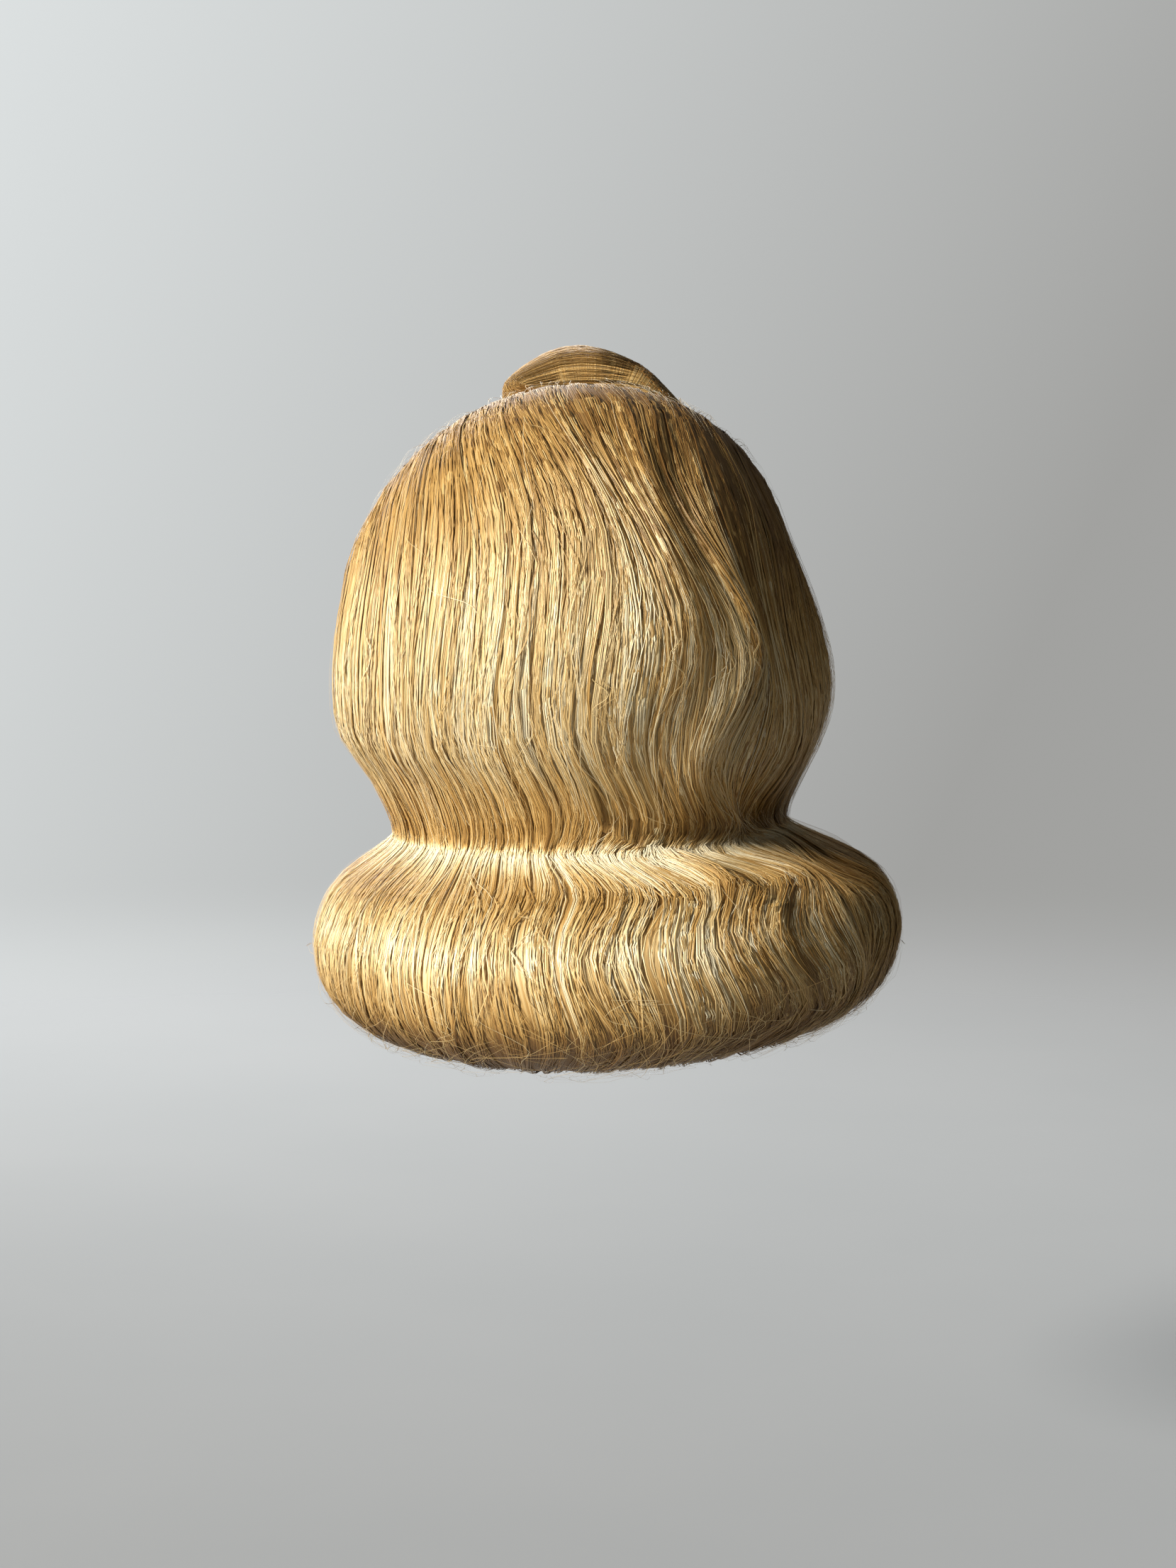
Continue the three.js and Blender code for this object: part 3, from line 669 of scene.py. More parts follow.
def shell(name, columns, rows, outer, inner, length):
    """A closed wall between two skins. length is the hair's length and breadth, for the flow map."""
    wall = Wall()
    made = []
    for skin, step, cell in ((outer, 1, OUTER_CELL), (inner, 2, INNER_CELL)):
        u, v = np.meshgrid(np.linspace(0, 1, columns // step + 1), np.linspace(0, 1, rows // step + 1))
        grid, shade = skin(u, v)
        ids = wall.add_points(grid, shade)
        flow = np.stack([u * length[0], v * length[1]], -1)
        wall.add_grid(ids, flow, np.stack([inset(u), mix(*cell, v)], -1), step == 2)
        made.append((ids, flow))
    (fine, flow), (coarse, _) = made
    sides = (lambda a: a[0], lambda a: a[-1, ::-1], lambda a: a[::-1, 0], lambda a: a[:, -1])
    for side, strip in zip(sides, RIM_STRIPS):
        wall.add_rim(side(fine), side(coarse), side(flow), strip)
    return add_object(name, wall.mesh(name))


def add_object(name, mesh):
    made = bpy.data.objects.new(name, mesh)
    bpy.context.scene.collection.objects.link(made)
    return made


def finish_piece(piece, material, slot, *replaced):
    """Gives a piece its material and hides the solids that it stands for. The slot is not used."""
    piece.data.materials.clear()
    piece.data.materials.append(material)
    if replaced:
        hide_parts(*replaced)
    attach(piece, "root")
    return piece


# Nodes


class Wire:
    """A socket that can be added, multiplied and taken away, which adds its Math nodes."""

    def __init__(self, sheet, socket):
        self.sheet, self.socket = sheet, socket

    def _math(self, operation, *values):
        return self.sheet.node("ShaderNodeMath", {"operation": operation}, *values)

    def __add__(self, other):
        return self._math("ADD", self, other)

    def __sub__(self, other):
        return self._math("SUBTRACT", self, other)

    def __rsub__(self, other):
        return self._math("SUBTRACT", other, self)

    def __mul__(self, other):
        return self._math("MULTIPLY", self, other)

    __radd__, __rmul__ = __add__, __mul__

    def clamped(self):
        return self._math("MINIMUM", self._math("MAXIMUM", self, 0.0), 1.0)


class Sheet:
    """A sheet of nodes, which all come from one method."""

    def __init__(self, tree):
        self.tree = tree

    def node(self, kind, settings, *values, out=0, **named):
        """Adds a node: its settings are set first, then its sockets in order or by name."""
        made = self.tree.nodes.new(kind)
        for key, value in settings.items():
            if key == "stops":
                self._set_stops(made.color_ramp, value)
            else:
                setattr(made, key, value)
        for key, value in [*enumerate(values), *named.items()]:
            if value is not None:
                self.feed(made.inputs[key if isinstance(key, int) else key.replace("_", " ")], value)
        return Wire(self, made.outputs[out])

    def feed(self, socket, value):
        if isinstance(value, Wire):
            self.tree.links.new(value.socket, socket)
        else:
            socket.default_value = value

    @staticmethod
    def _set_stops(ramp, stops):
        while len(ramp.elements) < len(stops):
            ramp.elements.new(0.5)
        for element, (at, colour) in zip(ramp.elements, stops):
            element.position, element.color = at, (*colour, 1)

    def blend(self, share, a, b):
        """Mixes two colours. The Mix node's colours are its seventh and eighth sockets."""
        colours = [colour if isinstance(colour, Wire) else (*colour, 1) for colour in (a, b)]
        return self.node("ShaderNodeMix", {"data_type": "RGBA"}, share, *[None] * 5, *colours, out=2)


# Strands


def strand_tree(material):
    """Geometry Nodes that draw a thin closed blade of hair along every line, its ridge facing outwards."""
    tree = bpy.data.node_groups.new("Hair strands", "GeometryNodeTree")
    kinds = {"Lines": "Geometry", "Sides": "Int", "Thickness": "Float", "Flatness": "Float"}
    for name, kind in kinds.items():
        tree.interface.new_socket(name, in_out="INPUT", socket_type="NodeSocket" + kind)
    inputs = {item.name: item.identifier for item in tree.interface.items_tree}
    tree.interface.new_socket("Strands", in_out="OUTPUT", socket_type="NodeSocketGeometry")
    sheet = Sheet(tree)
    given = tree.nodes.new("NodeGroupInput")
    lines, sides, thickness, flatness = (Wire(sheet, given.outputs[name]) for name in inputs)
    curves = sheet.node("GeometryNodeMeshToCurve", {}, Mesh=lines)
    outward = sheet.node("GeometryNodeInputNamedAttribute", {"data_type": "FLOAT_VECTOR"}, Name="outward")
    facing = sheet.node("GeometryNodeSetCurveNormal", {"mode": "FREE"}, Curve=curves, Normal=outward)
    ring = sheet.node("GeometryNodeCurvePrimitiveCircle", {}, Resolution=sides, Radius=1.0)
    pressing = sheet.node("ShaderNodeCombineXYZ", {}, flatness, 1.0, 1.0)
    pressed = sheet.node("GeometryNodeTransform", {}, Geometry=ring, Scale=pressing)
    width = sheet.node("GeometryNodeInputNamedAttribute", {"data_type": "FLOAT"}, Name="width")
    blade = sheet.node("GeometryNodeCurveToMesh", {}, facing, pressed, width * thickness, Fill_Caps=True)
    rounded = sheet.node("GeometryNodeSetShadeSmooth", {}, blade)
    real = sheet.node("GeometryNodeRealizeInstances", {}, rounded)
    coloured = sheet.node("GeometryNodeSetMaterial", {}, real, Material=material)
    sheet.feed(tree.nodes.new("NodeGroupOutput").inputs[0], coloured)
    return tree, inputs


def read(collection, key, width, kind=np.float32):
    values = np.empty(len(collection) * width, kind)
    collection.foreach_get(key, values)
    return values.reshape(-1, width) if width > 1 else values


class StrandMesh:
    """A mesh of strands as the tree leaves it: strand by strand, station by station and side by side."""

    def __init__(self, mesh, stations):
        self.mesh, self.stations = mesh, stations
        self.corner = corner = read(mesh.loops, "vertex_index", 1, np.int32)
        self.strand = corner // (stations * SIDES)
        self.station, self.side = corner // SIDES % stations, corner % SIDES
        totals = read(mesh.polygons, "loop_total", 1, np.int32)
        starts = np.concatenate([[0], np.cumsum(totals)[:-1]])
        least, most = np.minimum.reduceat(self.side, starts), np.maximum.reduceat(self.side, starts)
        self.wraps = np.repeat((totals == 4) & (least == 0) & (most == SIDES - 1), totals)
        self.under = np.repeat((totals == 4) & (least == 1), totals)

    def unroll(self):
        """Gives every strand its own cell on the bake map, its sides unrolled and its length upright."""
        columns = 16
        side = np.where(self.wraps & (self.side == 0), SIDES, self.side)
        rows = int(np.ceil((self.strand.max() + 1) / columns))
        u = (self.strand % columns + mix(0.08, 0.92, side / SIDES)) / columns
        v = (self.strand // columns + mix(0.06, 0.94, self.station / (self.stations - 1))) / rows
        layer = self.mesh.uv_layers.new(name="OFBake")
        layer.data.foreach_set("uv", np.stack([u, v], -1).astype(np.float32).ravel())

    def comb_normals(self):
        """Turns the normals out of the hair, leaning to the sides, so that the strands shine as one."""
        shape = (-1, self.stations, SIDES, 3)
        points = read(self.mesh.vertices, "co", 3).reshape(shape)
        out = read(self.mesh.attributes["outward"].data, "vector", 3).reshape(shape)
        across = unit(np.cross(out, np.gradient(points, axis=1)))
        lean = np.einsum("abcd,abcd->abc", points - points.mean(2, keepdims=True), across)[..., None]
        reach = np.abs(lean).max(2, keepdims=True) + 1e-9
        turned = unit(out + STRAND_LEAN * across * lean / reach).reshape(-1, 3)
        normals = np.where(self.under[:, None], -1, 1) * turned[self.corner]
        self.mesh.normals_split_custom_set(normals)


def strand_piece(name, batches, material, slot):
    """One piece from batches of (paths, ways out, widths, tones, roots), all with as many stations."""
    paths, out, width, tone, root = (np.concatenate([b[k] for b in batches]) for k in range(5))
    count, stations = paths.shape[:2]
    lines = bpy.data.meshes.new(name + " lines")
    lines.vertices.add(count * stations)
    lines.vertices.foreach_set("co", paths.astype(np.float32).ravel())
    first = np.arange(count * stations).reshape(count, stations)[:, :-1].ravel()
    lines.edges.add(len(first))
    lines.edges.foreach_set("vertices", np.stack([first, first + 1], -1).astype(np.int32).ravel())
    for key, values in (("width", width), ("tone", tone), ("root", root)):
        layer = lines.attributes.new(key, "FLOAT", "POINT")
        layer.data.foreach_set("value", values.astype(np.float32).ravel())
    outward = lines.attributes.new("outward", "FLOAT_VECTOR", "POINT")
    outward.data.foreach_set("vector", np.broadcast_to(out, paths.shape).astype(np.float32).ravel())
    lines.update()
    guide = add_object(name + " guide", lines)
    grown = guide.modifiers.new("Hair strands", "NODES")
    grown.node_group, inputs = strand_tree(material)
    for key, value in (("Sides", SIDES), ("Thickness", 1.0), ("Flatness", STRAND_FLATNESS)):
        grown[inputs[key]] = value
    evaluated = guide.evaluated_get(bpy.context.evaluated_depsgraph_get())
    mesh = bpy.data.meshes.new_from_object(evaluated)
    mesh.name = name
    guide.modifiers.clear()
    bpy.data.objects.remove(guide)
    bpy.data.meshes.remove(lines)
    strands = StrandMesh(mesh, stations)
    strands.unroll()
    strands.comb_normals()
    return finish_piece(add_object(name, mesh), material, slot)


def steps(stations):
    """Shares of the way along a strand."""
    return np.linspace(0, 1, stations)[None, :]


def tapered(t, thick, tip):
    """A strand's half thickness along it, thin at both ends."""
    return thick[:, None] * mix(0.35, 1, smooth(0, 0.12, t)) * mix(1, tip, smooth(0.6, 1, t))


def batch(rng, paths, out, thin, thick, tone, spread, tip=0.5, root=0.0):
    """Strands with half thicknesses in a range, in millimetres, and tones about a mean."""
    count, stations = paths.shape[:2]
    width = tapered(steps(stations), rng.uniform(thin, thick, count) * MM, tip)
    tones = np.clip(rng.normal(tone, spread, (count, 1)), 0, 1) * np.ones((1, stations))
    return paths, out, width, tones, root * np.ones_like(tones)


def back_strands(rng, locks, across, stations, wisps, each, first, last, spread, layer, wander, thick):
    """Strands of the back hair in wisps that follow the combed locks."""

    def every(a):
        return np.repeat(a, each, axis=0)[:, None]

    t = steps(stations)
    m0 = rng.uniform(*across, wisps)
    k = locks.of(m0)
    gather = rng.uniform(0.0, GATHER, wisps)
    start, end = rng.uniform(*first, wisps), rng.uniform(*last, wisps)
    phase, waves = rng.uniform(0, 1, (2, wisps)), rng.uniform(0.6, 1.6, (2, wisps))
    height = rng.uniform(0, 1, wisps) ** 1.4
    loose = wander * (1 + MIDDLE_WANDER * bell(m0, MIDDLE_AT, MIDDLE_WIDTH))
    sway = every(np.minimum(loose, max(wander, WANDER_MOST))) * MM / HAIR_ROUND
    varied = TONE_LEAST + TONE_SPREAD * bell(m0, TONE_AT, TONE_WIDTH)
    wisp_tone = np.clip(WISP_TONE + LOCK_TONE * locks.tone[k] + rng.normal(0, 1, wisps) * varied, -0.1, 1.1)

    row = mix(every(start), every(end), t)
    m = every(m0) + every(locks.middle[k] - m0) * every(gather) * smooth(0.4, 4, row)
    for w in range(2):
        m = m + sway / (1 + w) * wave(every(waves[w]) * (1 + w) * t + every(phase[w]))
    aside = rng.normal(0, 1, (wisps * each, 1)) * spread * MM / HAIR_ROUND
    m = np.clip(m + aside * (1.15 - 0.6 * t), 0.0005, 0.9995)
    own = rng.uniform(0, 1, (wisps * each, 1))
    arch = np.sin(np.pi * np.clip(t * 1.02, 0, 1)) ** 0.35
    lift = (0.15 + layer * mix(own, every(height), 0.65)) * arch
    lift = lift - 0.9 * (1 - smooth(0, 0.1, t)) - 0.9 * smooth(0.88, 1, t)
    paths, out = hair_point(locks, m, row, lift * MM)
    width = tapered(t, rng.uniform(0.6, 1.25, wisps * each) * thick * MM, 0.35)
    own_tone = rng.normal(0, 0.12, (wisps * each, 1))
    # The wisp's own tone plus the painted sheen and painted shade of the set hair.
    tone = np.clip(every(wisp_tone) + own_tone + painted_sheen_and_shade(m, row), 0, 1)
    root = (1 - smooth(0.0, 0.45, row)) * np.ones_like(t)
    return paths, out, width, tone, root


def sweep_wall(v):
    """The swept front hair's thickness over the cap, thinner at the hairline."""
    return SWEEP_WALL * mix(0.45, 1, smooth(0, 0.35, v))


def sweep_strands(rng, count, stations):
    """Strands of the swept front hair, from the hairline back to the parting."""
    t = steps(stations)
    u0, own = rng.uniform(0.005, 0.995, (count, 1)), rng.uniform(0, 1, (count, 1))
    drawn = rng.normal(0, 0.02, (count, 1)) + 0.05 * wave(u0)
    u = np.clip(u0 + drawn * t, 0.002, 0.998)
    start = rng.uniform(-0.01, 0.25, (count, 1)) * (rng.random((count, 1)) < 0.6)
    v = mix(start, rng.uniform(0.75, 0.99, (count, 1)), t)
    lift = mix(0.1, 0.9, own) * np.sin(np.pi * np.clip(t, 0.02, 1)) ** 0.4 - 0.4 * smooth(0.9, 1, t)
    paths = sweep_point(u, v, CAP_WALL + sweep_wall(v) + lift * MM)
    return batch(rng, paths, unit(paths - HEAD_MIDDLE), 0.24, 0.44, 0.5, 0.2)


def coil_strands(rng, count, stations):
    """Strands round the coil's outside and its visible turns, and over the face of its open front end."""
    t = steps(stations)
    own = rng.uniform(0, 1, (count, 1))
    on_face = rng.random((count, 1)) < 0.4
    v0 = np.where(on_face, 1.0, rng.uniform(0.0, 1.0, (count, 1)))
    v = np.clip(v0 + rng.normal(0, 0.02, (count, 1)) * (t - 0.5) * ~on_face, 0.0, 1.0)
    start = np.where(on_face, rng.uniform(0.02, 0.45, (count, 1)), rng.uniform(0.005, 0.1, (count, 1)))
    reach = np.where(on_face, rng.uniform(0.3, 0.52, (count, 1)), rng.uniform(0.36, 0.5, (count, 1)))
    lift = 0.8 * own * np.sin(np.pi * np.clip(t, 0.02, 0.98)) ** 0.4 - 0.5 * smooth(0.9, 1, t)
    inward = np.where(on_face, own, 0.0) * np.ones_like(t)
    paths = coil_point(start + reach * t, v, inward)
    hub = paths.mean(axis=1, keepdims=True) * [0, 0, 1] + [[[-COIL_LEAN, 0, 0]]]
    away = unit((paths - hub) * [1, 0, 1])
    paths = paths + away * (lift * MM * ~on_face)[..., None]
    paths[..., 1] -= 0.9 * MM * on_face * own
    # The coil's strands are darker in tone all over: painted shade on the rolled hair.
    return batch(rng, paths, np.where(on_face[..., None], [0.0, -1.0, 0.0], away), 0.22, 0.42, 0.12, 0.24)


def curve_through(guides, stations):
    """Smooth paths through the guide points of every strand: guides is strands, guide points and xyz."""
    count, points = guides.shape[:2]
    table = guides.transpose(1, 0, 2).reshape(points, -1)
    return through(table, np.linspace(0, points - 1, stations)).reshape(stations, count, 3).transpose(1, 0, 2)


def feeder_strands(rng, count, stations):
    """Hair that is swept up from the temple and the hairline and leaves the head to start the coil."""
    v = rng.uniform(0.02, 1.0, count)
    foot = mix(0.8, 0.04, v) + rng.normal(0, 0.04, count)
    base = 0.27 + rng.uniform(-0.02, 0.04, count)
    lift = rng.uniform(0.2, 1.4, count) * MM

    def on_sweep(u, sink):
        return sweep_point(u, np.clip(foot, 0.02, 0.95), CAP_WALL + sweep_wall(foot) + lift - sink * MM)

    def on_coil(u):
        point = coil_point(np.full(count, u), v, np.zeros(count))
        away = unit((point - [-COIL_LEAN, 0, 0]) * [1, 0, 0])
        return point + away * lift[:, None]

    guides = [on_sweep(base - 0.15, 0.9), on_sweep(base - 0.07, 0.0)]
    guides += [on_coil(share) for share in (0.02, 0.07, 0.13)]
    guides.append(coil_point(np.full(count, 0.19), v, np.full(count, 0.05)))
    paths = curve_through(np.stack(guides, 1), stations)
    return batch(rng, paths, unit((paths - [-COIL_LEAN, 0, -0.02]) * [1, 0, 1]), 0.22, 0.42, 0.5, 0.16)


def inside_strands(rng, across, stations, count, first, last, keep_out):
    """Strands on the inner side of the back hair."""
    t = steps(stations)
    start, end = rng.uniform(*first, (count, 1)), rng.uniform(*last, (count, 1))
    row = mix(start, end, t)
    m = rng.uniform(*across, (count, 1)) + rng.normal(0, 1.5, (count, 1)) * MM / HAIR_ROUND * t
    m = np.clip(m, 0.001, 0.999)
    skin = hair_inside(m, row, keep_out)
    into = unit(skin - hair_surface(combed(m, row), row))
    arch = np.sin(np.pi * np.clip(t, 0.02, 0.98)) ** 0.4
    lift = rng.uniform(0.1, 0.9, (count, 1)) * arch - 0.4 * smooth(0.85, 1, t)
    paths = skin + into * (lift * MM)[..., None]
    if keep_out:
        paths = clear_of_head(paths, CAP_WALL)
    return batch(rng, paths, into, 0.24, 0.42, 0.45, 0.16)


def loose_hairs(rng, locks, stations, count, first, last, length, rise, bend, thick, root, tone):
    """Short fine hairs that leave the surface, wander and curl."""
    t = steps(stations)
    m0, row0 = rng.uniform(0.01, 0.99, (count, 1)), rng.uniform(*first, (count, 1))
    row = np.clip(mix(row0, rng.uniform(*last, (count, 1)), t), 0.02, TIP_ROW - 3)
    m = np.clip(m0 + rng.normal(0, 1, (count, 1)) * length * MM / HAIR_ROUND * t, 0.001, 0.999)
    m = m + bend * MM / HAIR_ROUND * wave(rng.uniform(0.4, 1.4, (count, 1)) * t + rng.random((count, 1)))
    lift = 0.4 + rng.uniform(0.2, 1, (count, 1)) * rise * np.sin(np.pi * np.clip(t * 0.85, 0.01, 1)) ** 0.8
    paths, out = hair_point(locks, np.clip(m, 0.001, 0.999), row, lift * MM)
    return batch(rng, paths, out, 0.7 * thick, 1.2 * thick, tone, 0.15, 0.4, root)


# Finishes


class Finish(Sheet):
    """A material that is built up from nodes."""

    def __init__(self, name):
        self.material = bpy.data.materials.new(name)
        self.material.use_nodes = True
        super().__init__(self.material.node_tree)
        self.shader = self.tree.nodes["Principled BSDF"]

    def attribute(self, name):
        settings = {"attribute_type": "GEOMETRY", "attribute_name": name}
        return self.node("ShaderNodeAttribute", settings, out="Fac")

    def flow(self, across, along):
        """Coordinates on the flow map, so many to the metre across the hair and along it."""
        uv = self.node("ShaderNodeUVMap", {"uv_map": "Flow"})
        return self.node("ShaderNodeVectorMath", {"operation": "MULTIPLY"}, uv, (across, along, 1))

    def place(self):
        return self.node("ShaderNodeTexCoord", {}, out="Object")

    def noise(self, vector, scale=1.0, detail=2.0):
        return self.node("ShaderNodeTexNoise", {}, Vector=vector, Scale=scale, Detail=detail, out="Fac")

    def ramp(self, value, stops):
        return self.node("ShaderNodeValToRGB", {"stops": stops}, value)

    def bump(self, height, distance):
        return self.node("ShaderNodeBump", {}, Strength=1.0, Distance=distance, Height=height)

    def surface(self, **sockets):
        for key, value in sockets.items():
            self.feed(self.shader.inputs[key.replace("_", " ")], value)
        return self.material


CARAMEL = (0.225, 0.11, 0.026)
GOLDEN = (0.52, 0.305, 0.09)
BLONDE = (0.71, 0.52, 0.24)
CREAM = (0.86, 0.76, 0.52)
ROOT_PALE = (0.72, 0.63, 0.5)
HAIR_STOPS = [(0.0, CARAMEL), (0.34, GOLDEN), (0.66, BLONDE), (1.0, CREAM)]
FINE_STREAKS, WISP_STREAKS = (1500, 5), (560, 3)
NET_STOPS = [(0.0, (0.16, 0.1, 0.055)), (0.5, (0.36, 0.26, 0.16)), (1.0, (0.6, 0.47, 0.32))]
FLOOR_STOPS = [(0.0, (0.33, 0.34, 0.345)), (1.0, (0.37, 0.375, 0.378))]
FLOOR_CLEAR_FROM, FLOOR_CLEAR_AT = 0.5, 2.6


def body_finish(name, across, along):
    """Combed hair seen as a mass: fine streaks along the flow, darker by painted shade in the gaps between
    locks and on the inner skins, and paler or darker with the set hair's painted sheen and shade.
    """
    f = Finish(name)
    fine = f.noise(f.flow(*FINE_STREAKS))
    wisp = f.noise(f.flow(*WISP_STREAKS), detail=1.0)
    broad = f.noise(f.flow(across, along), detail=1.0)
    # The shade attribute darkens the skin by painted shade, and makes it paler where painted sheen is set.
    tone = (fine * 0.8 + wisp * 0.5 + broad * 0.1 - 0.19 - f.attribute("shade")).clamped()
    height = fine * 0.45 + wisp * 0.55
    return f.surface(
        Base_Color=f.ramp(tone, HAIR_STOPS),
        Roughness=(0.56 - tone * 0.08).clamped(),
        Normal=f.bump(height, 0.0008),
        Specular_IOR_Level=0.5,
    )


def strand_finish(name):
    """Single strands: each has its own tone, which on the back hair takes in the set hair's painted sheen and
    shade, pale at the root by the parting and a little mottled.
    """
    f = Finish(name)
    mottle = f.noise(f.place(), scale=55.0)
    tone = (f.attribute("tone") + mottle * 0.1 - 0.05).clamped()
    pale = f.attribute("root")
    return f.surface(
        Base_Color=f.blend(pale * 0.8, f.ramp(tone, HAIR_STOPS), ROOT_PALE),
        Roughness=(0.4 - tone * 0.06).clamped(),
        Specular_IOR_Level=0.75,
        Specular_Tint=(1.0, 0.88, 0.62, 1),
    )


def net_finish(name):
    """Fine stretch net with a ground of knotted meshes."""
    f = Finish(name)
    uv = f.node("ShaderNodeUVMap", {"uv_map": "Flow"})
    threads = {"feature": "DISTANCE_TO_EDGE"}
    cells = f.node("ShaderNodeTexVoronoi", threads, Vector=uv, Scale=620.0, Randomness=0.25)
    thread = 1 - (cells * 9.0).clamped()
    cloudy = f.noise(f.place(), scale=60.0)
    shade = (thread * 0.6 + cloudy * 0.4).clamped()
    return f.surface(
        Base_Color=f.ramp(shade, NET_STOPS), Roughness=0.86, Normal=f.bump(thread, 0.0003), Sheen_Weight=0.2
    )


def floor_finish():
    """A pale floor that fades out into the room before its edge."""
    f = Finish("Pale floor")
    place = f.place()
    mottle = f.noise(place, scale=3.0, detail=4.0)
    far = f.node("ShaderNodeVectorMath", {"operation": "LENGTH"}, place, out="Value")
    f.surface(Base_Color=f.ramp(mottle, FLOOR_STOPS), Roughness=0.9)
    clear = f.node("ShaderNodeBsdfTransparent", {})
    fading = {"interpolation_type": "SMOOTHSTEP"}
    fade = f.node("ShaderNodeMapRange", fading, far, FLOOR_CLEAR_FROM, FLOOR_CLEAR_AT, 0.0, 1.0)
    output = f.tree.nodes["Material Output"]
    f.feed(output.inputs[0], f.node("ShaderNodeMixShader", {}, fade, Wire(f, f.shader.outputs[0]), clear))
    return f.material


# Pieces

# Columns and rows of the walls and the net, and the painted shade of the outer skin between locks and of the
# inner skin.
BACK_GRID, FRONT_GRID, COIL_GRID = (200, 56), (160, 40), (180, 44)
NET_GRID, NET_HEM, NET_ROUND, NET_DOWN = (96, 30), 4, 0.09, 0.16
OUTER_SHADE, INNER_SHADE = 0.1, 0.2


def combed_skin(locks, u, row):
    """The back hair's outer skin under the strands, and its painted shade there: darker in the gaps between
    locks, with the set hair's painted sheen and shade.
    """
    point, _outward = hair_point(locks, u, row, -BODY_SINK)
    return point, OUTER_SHADE * (1 - locks.crest(u, row)) - painted_sheen_and_shade(u, row)


def crown_body(locks, material):
    """The crown's wall, which ends just short of the roll's."""
    last_step = SECTIONS[WAIST_ROW - 1, 3] - SECTIONS[WAIST_ROW, 3]
    last = WAIST_ROW - SEAT_GAP / last_step

    def outer(u, v):
        return combed_skin(locks, u, v * last)

    def inner(u, v):
        return hair_inside(u, v * last, True), INNER_SHADE

    piece = shell("crown_hair_body", *BACK_GRID, outer, inner, (0.6, 0.28))
    return finish_piece(piece, material, "crown_hair", "crown_hair")


def pageboy_body(locks, material):
    def outer(u, v):
        return combed_skin(locks, u, mix(WAIST_ROW, TIP_ROW, v))

    def inner(u, v):
        return hair_inside(u, mix(WAIST_ROW, TIP_ROW, v), False), INNER_SHADE

    piece = shell("pageboy_hair_body", *BACK_GRID, outer, inner, (0.6, 0.3))
    return finish_piece(piece, material, "pageboy_hair", "pageboy_roll")


def front_body(material):
    def outer(u, v):
        ripple = 0.35 * MM * wave(26 * u + 0.4 * np.sin(9 * u)) * smooth(0, 0.2, v) * smooth(1, 0.8, v)
        return sweep_point(u, v, CAP_WALL + sweep_wall(v) + ripple), OUTER_SHADE

    def inner(u, v):
        return sweep_point(u, v, np.full_like(u, CAP_WALL + SEAT_GAP)), INNER_SHADE

    piece = shell("front_hair_body", *FRONT_GRID, outer, inner, (0.3, 0.11))
    return finish_piece(piece, material, "front_hair", "front_sweep")


def coil_body(material):
    def outer(u, v):
        # The outer skin darkens into the coil's inner turns: painted shade.
        return coil_point(u, v, np.zeros_like(u)), mix(OUTER_SHADE, INNER_SHADE, smooth(0.5, 0.7, u))

    def inner(u, v):
        return coil_point(u, v, np.ones_like(u)), INNER_SHADE

    piece = shell("victory_roll_body", *COIL_GRID, outer, inner, (0.36, 0.1))
    return finish_piece(piece, material, "rolled_hair", "victory_roll")


def cap_net(material):
    """The foundation cap: a thin dome of net with a folded hem along its edge."""
    (columns, rows), hem = NET_GRID, NET_HEM
    shares = np.concatenate([np.linspace(0, 1, rows + 1)[1:], np.ones(hem), np.linspace(1, 0, rows + 1)[:-1]])
    outside = np.concatenate([np.ones(rows), np.linspace(1, 0, hem + 2)[1:-1], np.zeros(rows)])
    turn = np.linspace(0, 2 * np.pi, columns + 1)
    down = shares[:, None] * cap_edge(turn)[None, :]
    down = down + np.radians(0.5) * np.sin(np.pi * outside)[:, None] * (shares[:, None] == 1)
    grid = head_point(turn[None, :], down, outside[:, None] * CAP_WALL)
    wall = Wall()
    ids = wall.add_points(grid[:, :-1], 0.0)
    ids = np.concatenate([ids, ids[:, :1]], 1)
    poles = wall.add_points(np.array([[0, 0, CAP_WALL], [0, 0, 0]]), 0.0)
    along = np.cumsum(np.abs(np.diff(shares, prepend=0)) + 0.01)[:, None]
    flow = np.stack(np.broadcast_arrays(turn * NET_ROUND, along * NET_DOWN), -1)
    cell = np.stack(np.broadcast_arrays(turn / (2 * np.pi), along / along[-1] * 0.96 + 0.02), -1)
    wall.add_grid(ids, flow, cell, False)
    for pole, ring, end, order in ((poles[0], 0, 0.0, 1), (poles[1], -1, 1.0, -1)):
        for i in range(columns):
            face = [int(point) for point in (pole, ids[ring, i], ids[ring, i + 1])]
            near = [flow[ring, i] + [0, end * 0.002], flow[ring, i], flow[ring, i + 1]]
            share = [[cell[ring, i, 0], end], cell[ring, i], cell[ring, i + 1]]
            wall.faces.append(face[::order])
            wall.flow.append(np.array(near[::order]))
            wall.cell.append(np.array(share[::order]))
    piece = add_object("cap_net", wall.mesh("cap_net"))
    return finish_piece(piece, material, "cap_net", "wig_cap")


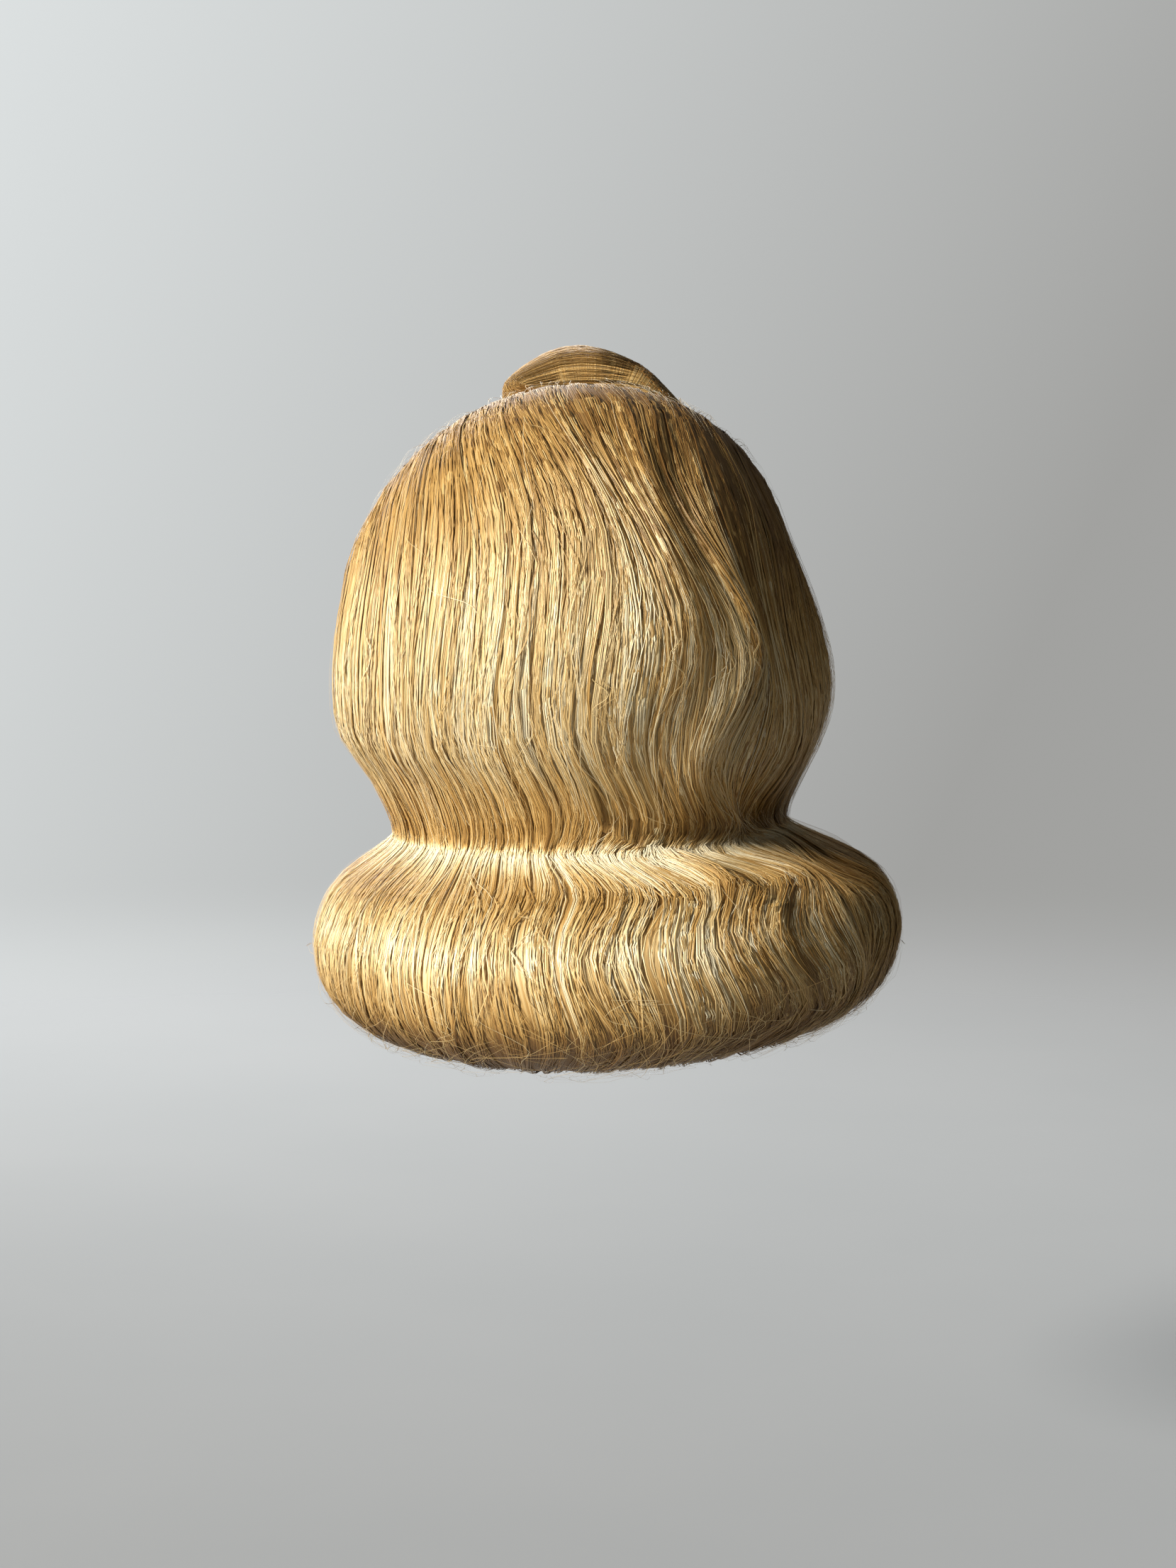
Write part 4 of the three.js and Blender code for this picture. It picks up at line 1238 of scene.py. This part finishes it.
def back_hair(rng, locks, strand):
    """The back hair's strands: the crown's and the roll's in two halves, the waist's and the front edges'."""
    for side, across in (("right", (0.0, 0.5)), ("left", (0.5, 1.0))):
        crown = [back_strands(rng, locks, across, CROWN_STATIONS, *row) for row in CROWN_BATCHES]
        strand_piece("crown_strands_" + side, crown, strand, "crown_hair")
        roll = [back_strands(rng, locks, across, ROLL_STATIONS, *row) for row in ROLL_BATCHES]
        strand_piece("pageboy_strands_" + side, roll, strand, "pageboy_hair")
    waist = [back_strands(rng, locks, (0.0, 1.0), STATIONS, *WAIST_BATCH)]
    strand_piece("waist_strands", waist, strand, "crown_hair")
    edges = []
    for outside, inside in EDGES:
        edges.extend(back_strands(rng, locks, outside, STATIONS, *row) for row in EDGE_BATCHES)
        edges.extend(inside_strands(rng, inside, STATIONS, *row) for row in INNER_BATCHES)
    strand_piece("front_edge_strands", edges, strand, "crown_hair")


def front_hair(rng, strand):
    swept = [sweep_strands(rng, FRONT_STRANDS, SHORT_STATIONS)]
    strand_piece("front_strands", swept, strand, "front_hair")
    rolled = [coil_strands(rng, COIL_STRANDS, STATIONS), feeder_strands(rng, FEEDER_STRANDS, STATIONS)]
    strand_piece("victory_roll_strands", rolled, strand, "rolled_hair")


def stray_hair(rng, locks, strand):
    """Baby hairs at the parting, fly-away hairs all over, and the frizz of the tucked ends under the hem."""
    strays = [loose_hairs(rng, locks, SHORT_STATIONS, *row) for row in STRAY_BATCHES]
    strand_piece("stray_hairs", strays, strand, "crown_hair")


# Light and camera

CAMERA_AT = (0.1139, 1.629, -0.0185)
CAMERA_AIM = (0.0028, 0.0, -0.1786)
LENS, SENSOR = 79.75, 36.0
FLOOR_Z, FLOOR_REACH = -0.53, 6.0
LAMP_AIM = (0, 0, -0.15)
KEY_FROM, KEY_STRENGTH, KEY_SPREAD = (1.5, 0.86, 0.5), 6.4, 20
KEY_COLOUR = (1.0, 0.975, 0.93)
FILL_FROM, FILL_POWER, FILL_SIZE = (0.5, -2.2, 0.7), 45.0, 1.8
FILL_COLOUR = (0.95, 0.98, 1.0)

# The room: its colour on either side, paler on the window light's side and darker away from it as painted
# light and shade, the way across which that changes, how sharply, and how much it lights.
ROOM_LIT = (0.78, 0.815, 0.82)
ROOM_SHADED = (0.36, 0.36, 0.35)
ROOM_FALL, ROOM_BLEND = (0.9, 0.0, 0.45), 0.2
ROOM_FILL = 0.17


def stand(thing, at, aim):
    """Stands a camera or a lamp at a place, turned to what it aims at."""
    thing.location = at
    thing.rotation_euler = (Vector(aim) - Vector(at)).to_track_quat("-Z", "Y").to_euler()
    bpy.context.scene.collection.objects.link(thing)


def studio():
    scene = bpy.context.scene
    camera = bpy.data.objects.new("Camera", bpy.data.cameras.new("Camera"))
    camera.data.lens, camera.data.sensor_width = LENS, SENSOR
    stand(camera, CAMERA_AT, CAMERA_AIM)
    scene.camera = camera
    sun = bpy.data.lights.new("Window light", "SUN")
    sun.energy, sun.angle, sun.color = KEY_STRENGTH, math.radians(KEY_SPREAD), KEY_COLOUR
    stand(bpy.data.objects.new("Window light", sun), KEY_FROM, LAMP_AIM)
    fill = bpy.data.lights.new("Front fill", "AREA")
    fill.shape, fill.size, fill.energy, fill.color = "DISK", FILL_SIZE, FILL_POWER, FILL_COLOUR
    stand(bpy.data.objects.new("Front fill", fill), FILL_FROM, LAMP_AIM)
    scene.world = pale_room()
    scene.view_settings.view_transform = "Standard"
    middle = (0, 0, FLOOR_Z)
    bpy.ops.mesh.primitive_circle_add(vertices=96, radius=FLOOR_REACH, fill_type="NGON", location=middle)
    floor = bpy.context.object
    floor.name = "Floor"
    floor.data.materials.append(floor_finish())


def pale_room():
    """A pale grey surrounding that looks as bright as a wall but gives only a weak fill light."""
    world = bpy.data.worlds.new("Pale room")
    world.use_nodes = True
    room = Sheet(world.node_tree)
    background = room.tree.nodes["Background"]
    towards = room.node("ShaderNodeTexCoord", {}, out="Generated")
    falling = room.node("ShaderNodeVectorMath", {"operation": "DOT_PRODUCT"}, towards, ROOM_FALL, out="Value")
    across = room.node("ShaderNodeMapRange", {}, falling, -ROOM_BLEND, ROOM_BLEND)
    # The surrounding is paler towards the window light and darker on the far side: painted light and shade.
    room.feed(background.inputs["Color"], room.blend(across, ROOM_SHADED, ROOM_LIT))
    seen = room.node("ShaderNodeLightPath", {}, out="Is Camera Ray")
    strength = room.node("ShaderNodeMapRange", {}, seen, To_Min=ROOM_FILL, To_Max=1.0)
    room.feed(background.inputs["Strength"], strength)
    return world


def main():
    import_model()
    studio()
    rng = np.random.default_rng(SEED)
    locks = Locks(rng)
    body = body_finish("Combed hair", 120, 2.5)
    strand = strand_finish("Hair strands")
    crown_body(locks, body)
    pageboy_body(locks, body)
    front_body(body_finish("Swept front hair", 160, 4.0))
    coil_body(body_finish("Rolled hair", 150, 4.0))
    cap_net(net_finish("Cap net"))
    back_hair(rng, locks, strand)
    front_hair(rng, strand)
    stray_hair(rng, locks, strand)


main()
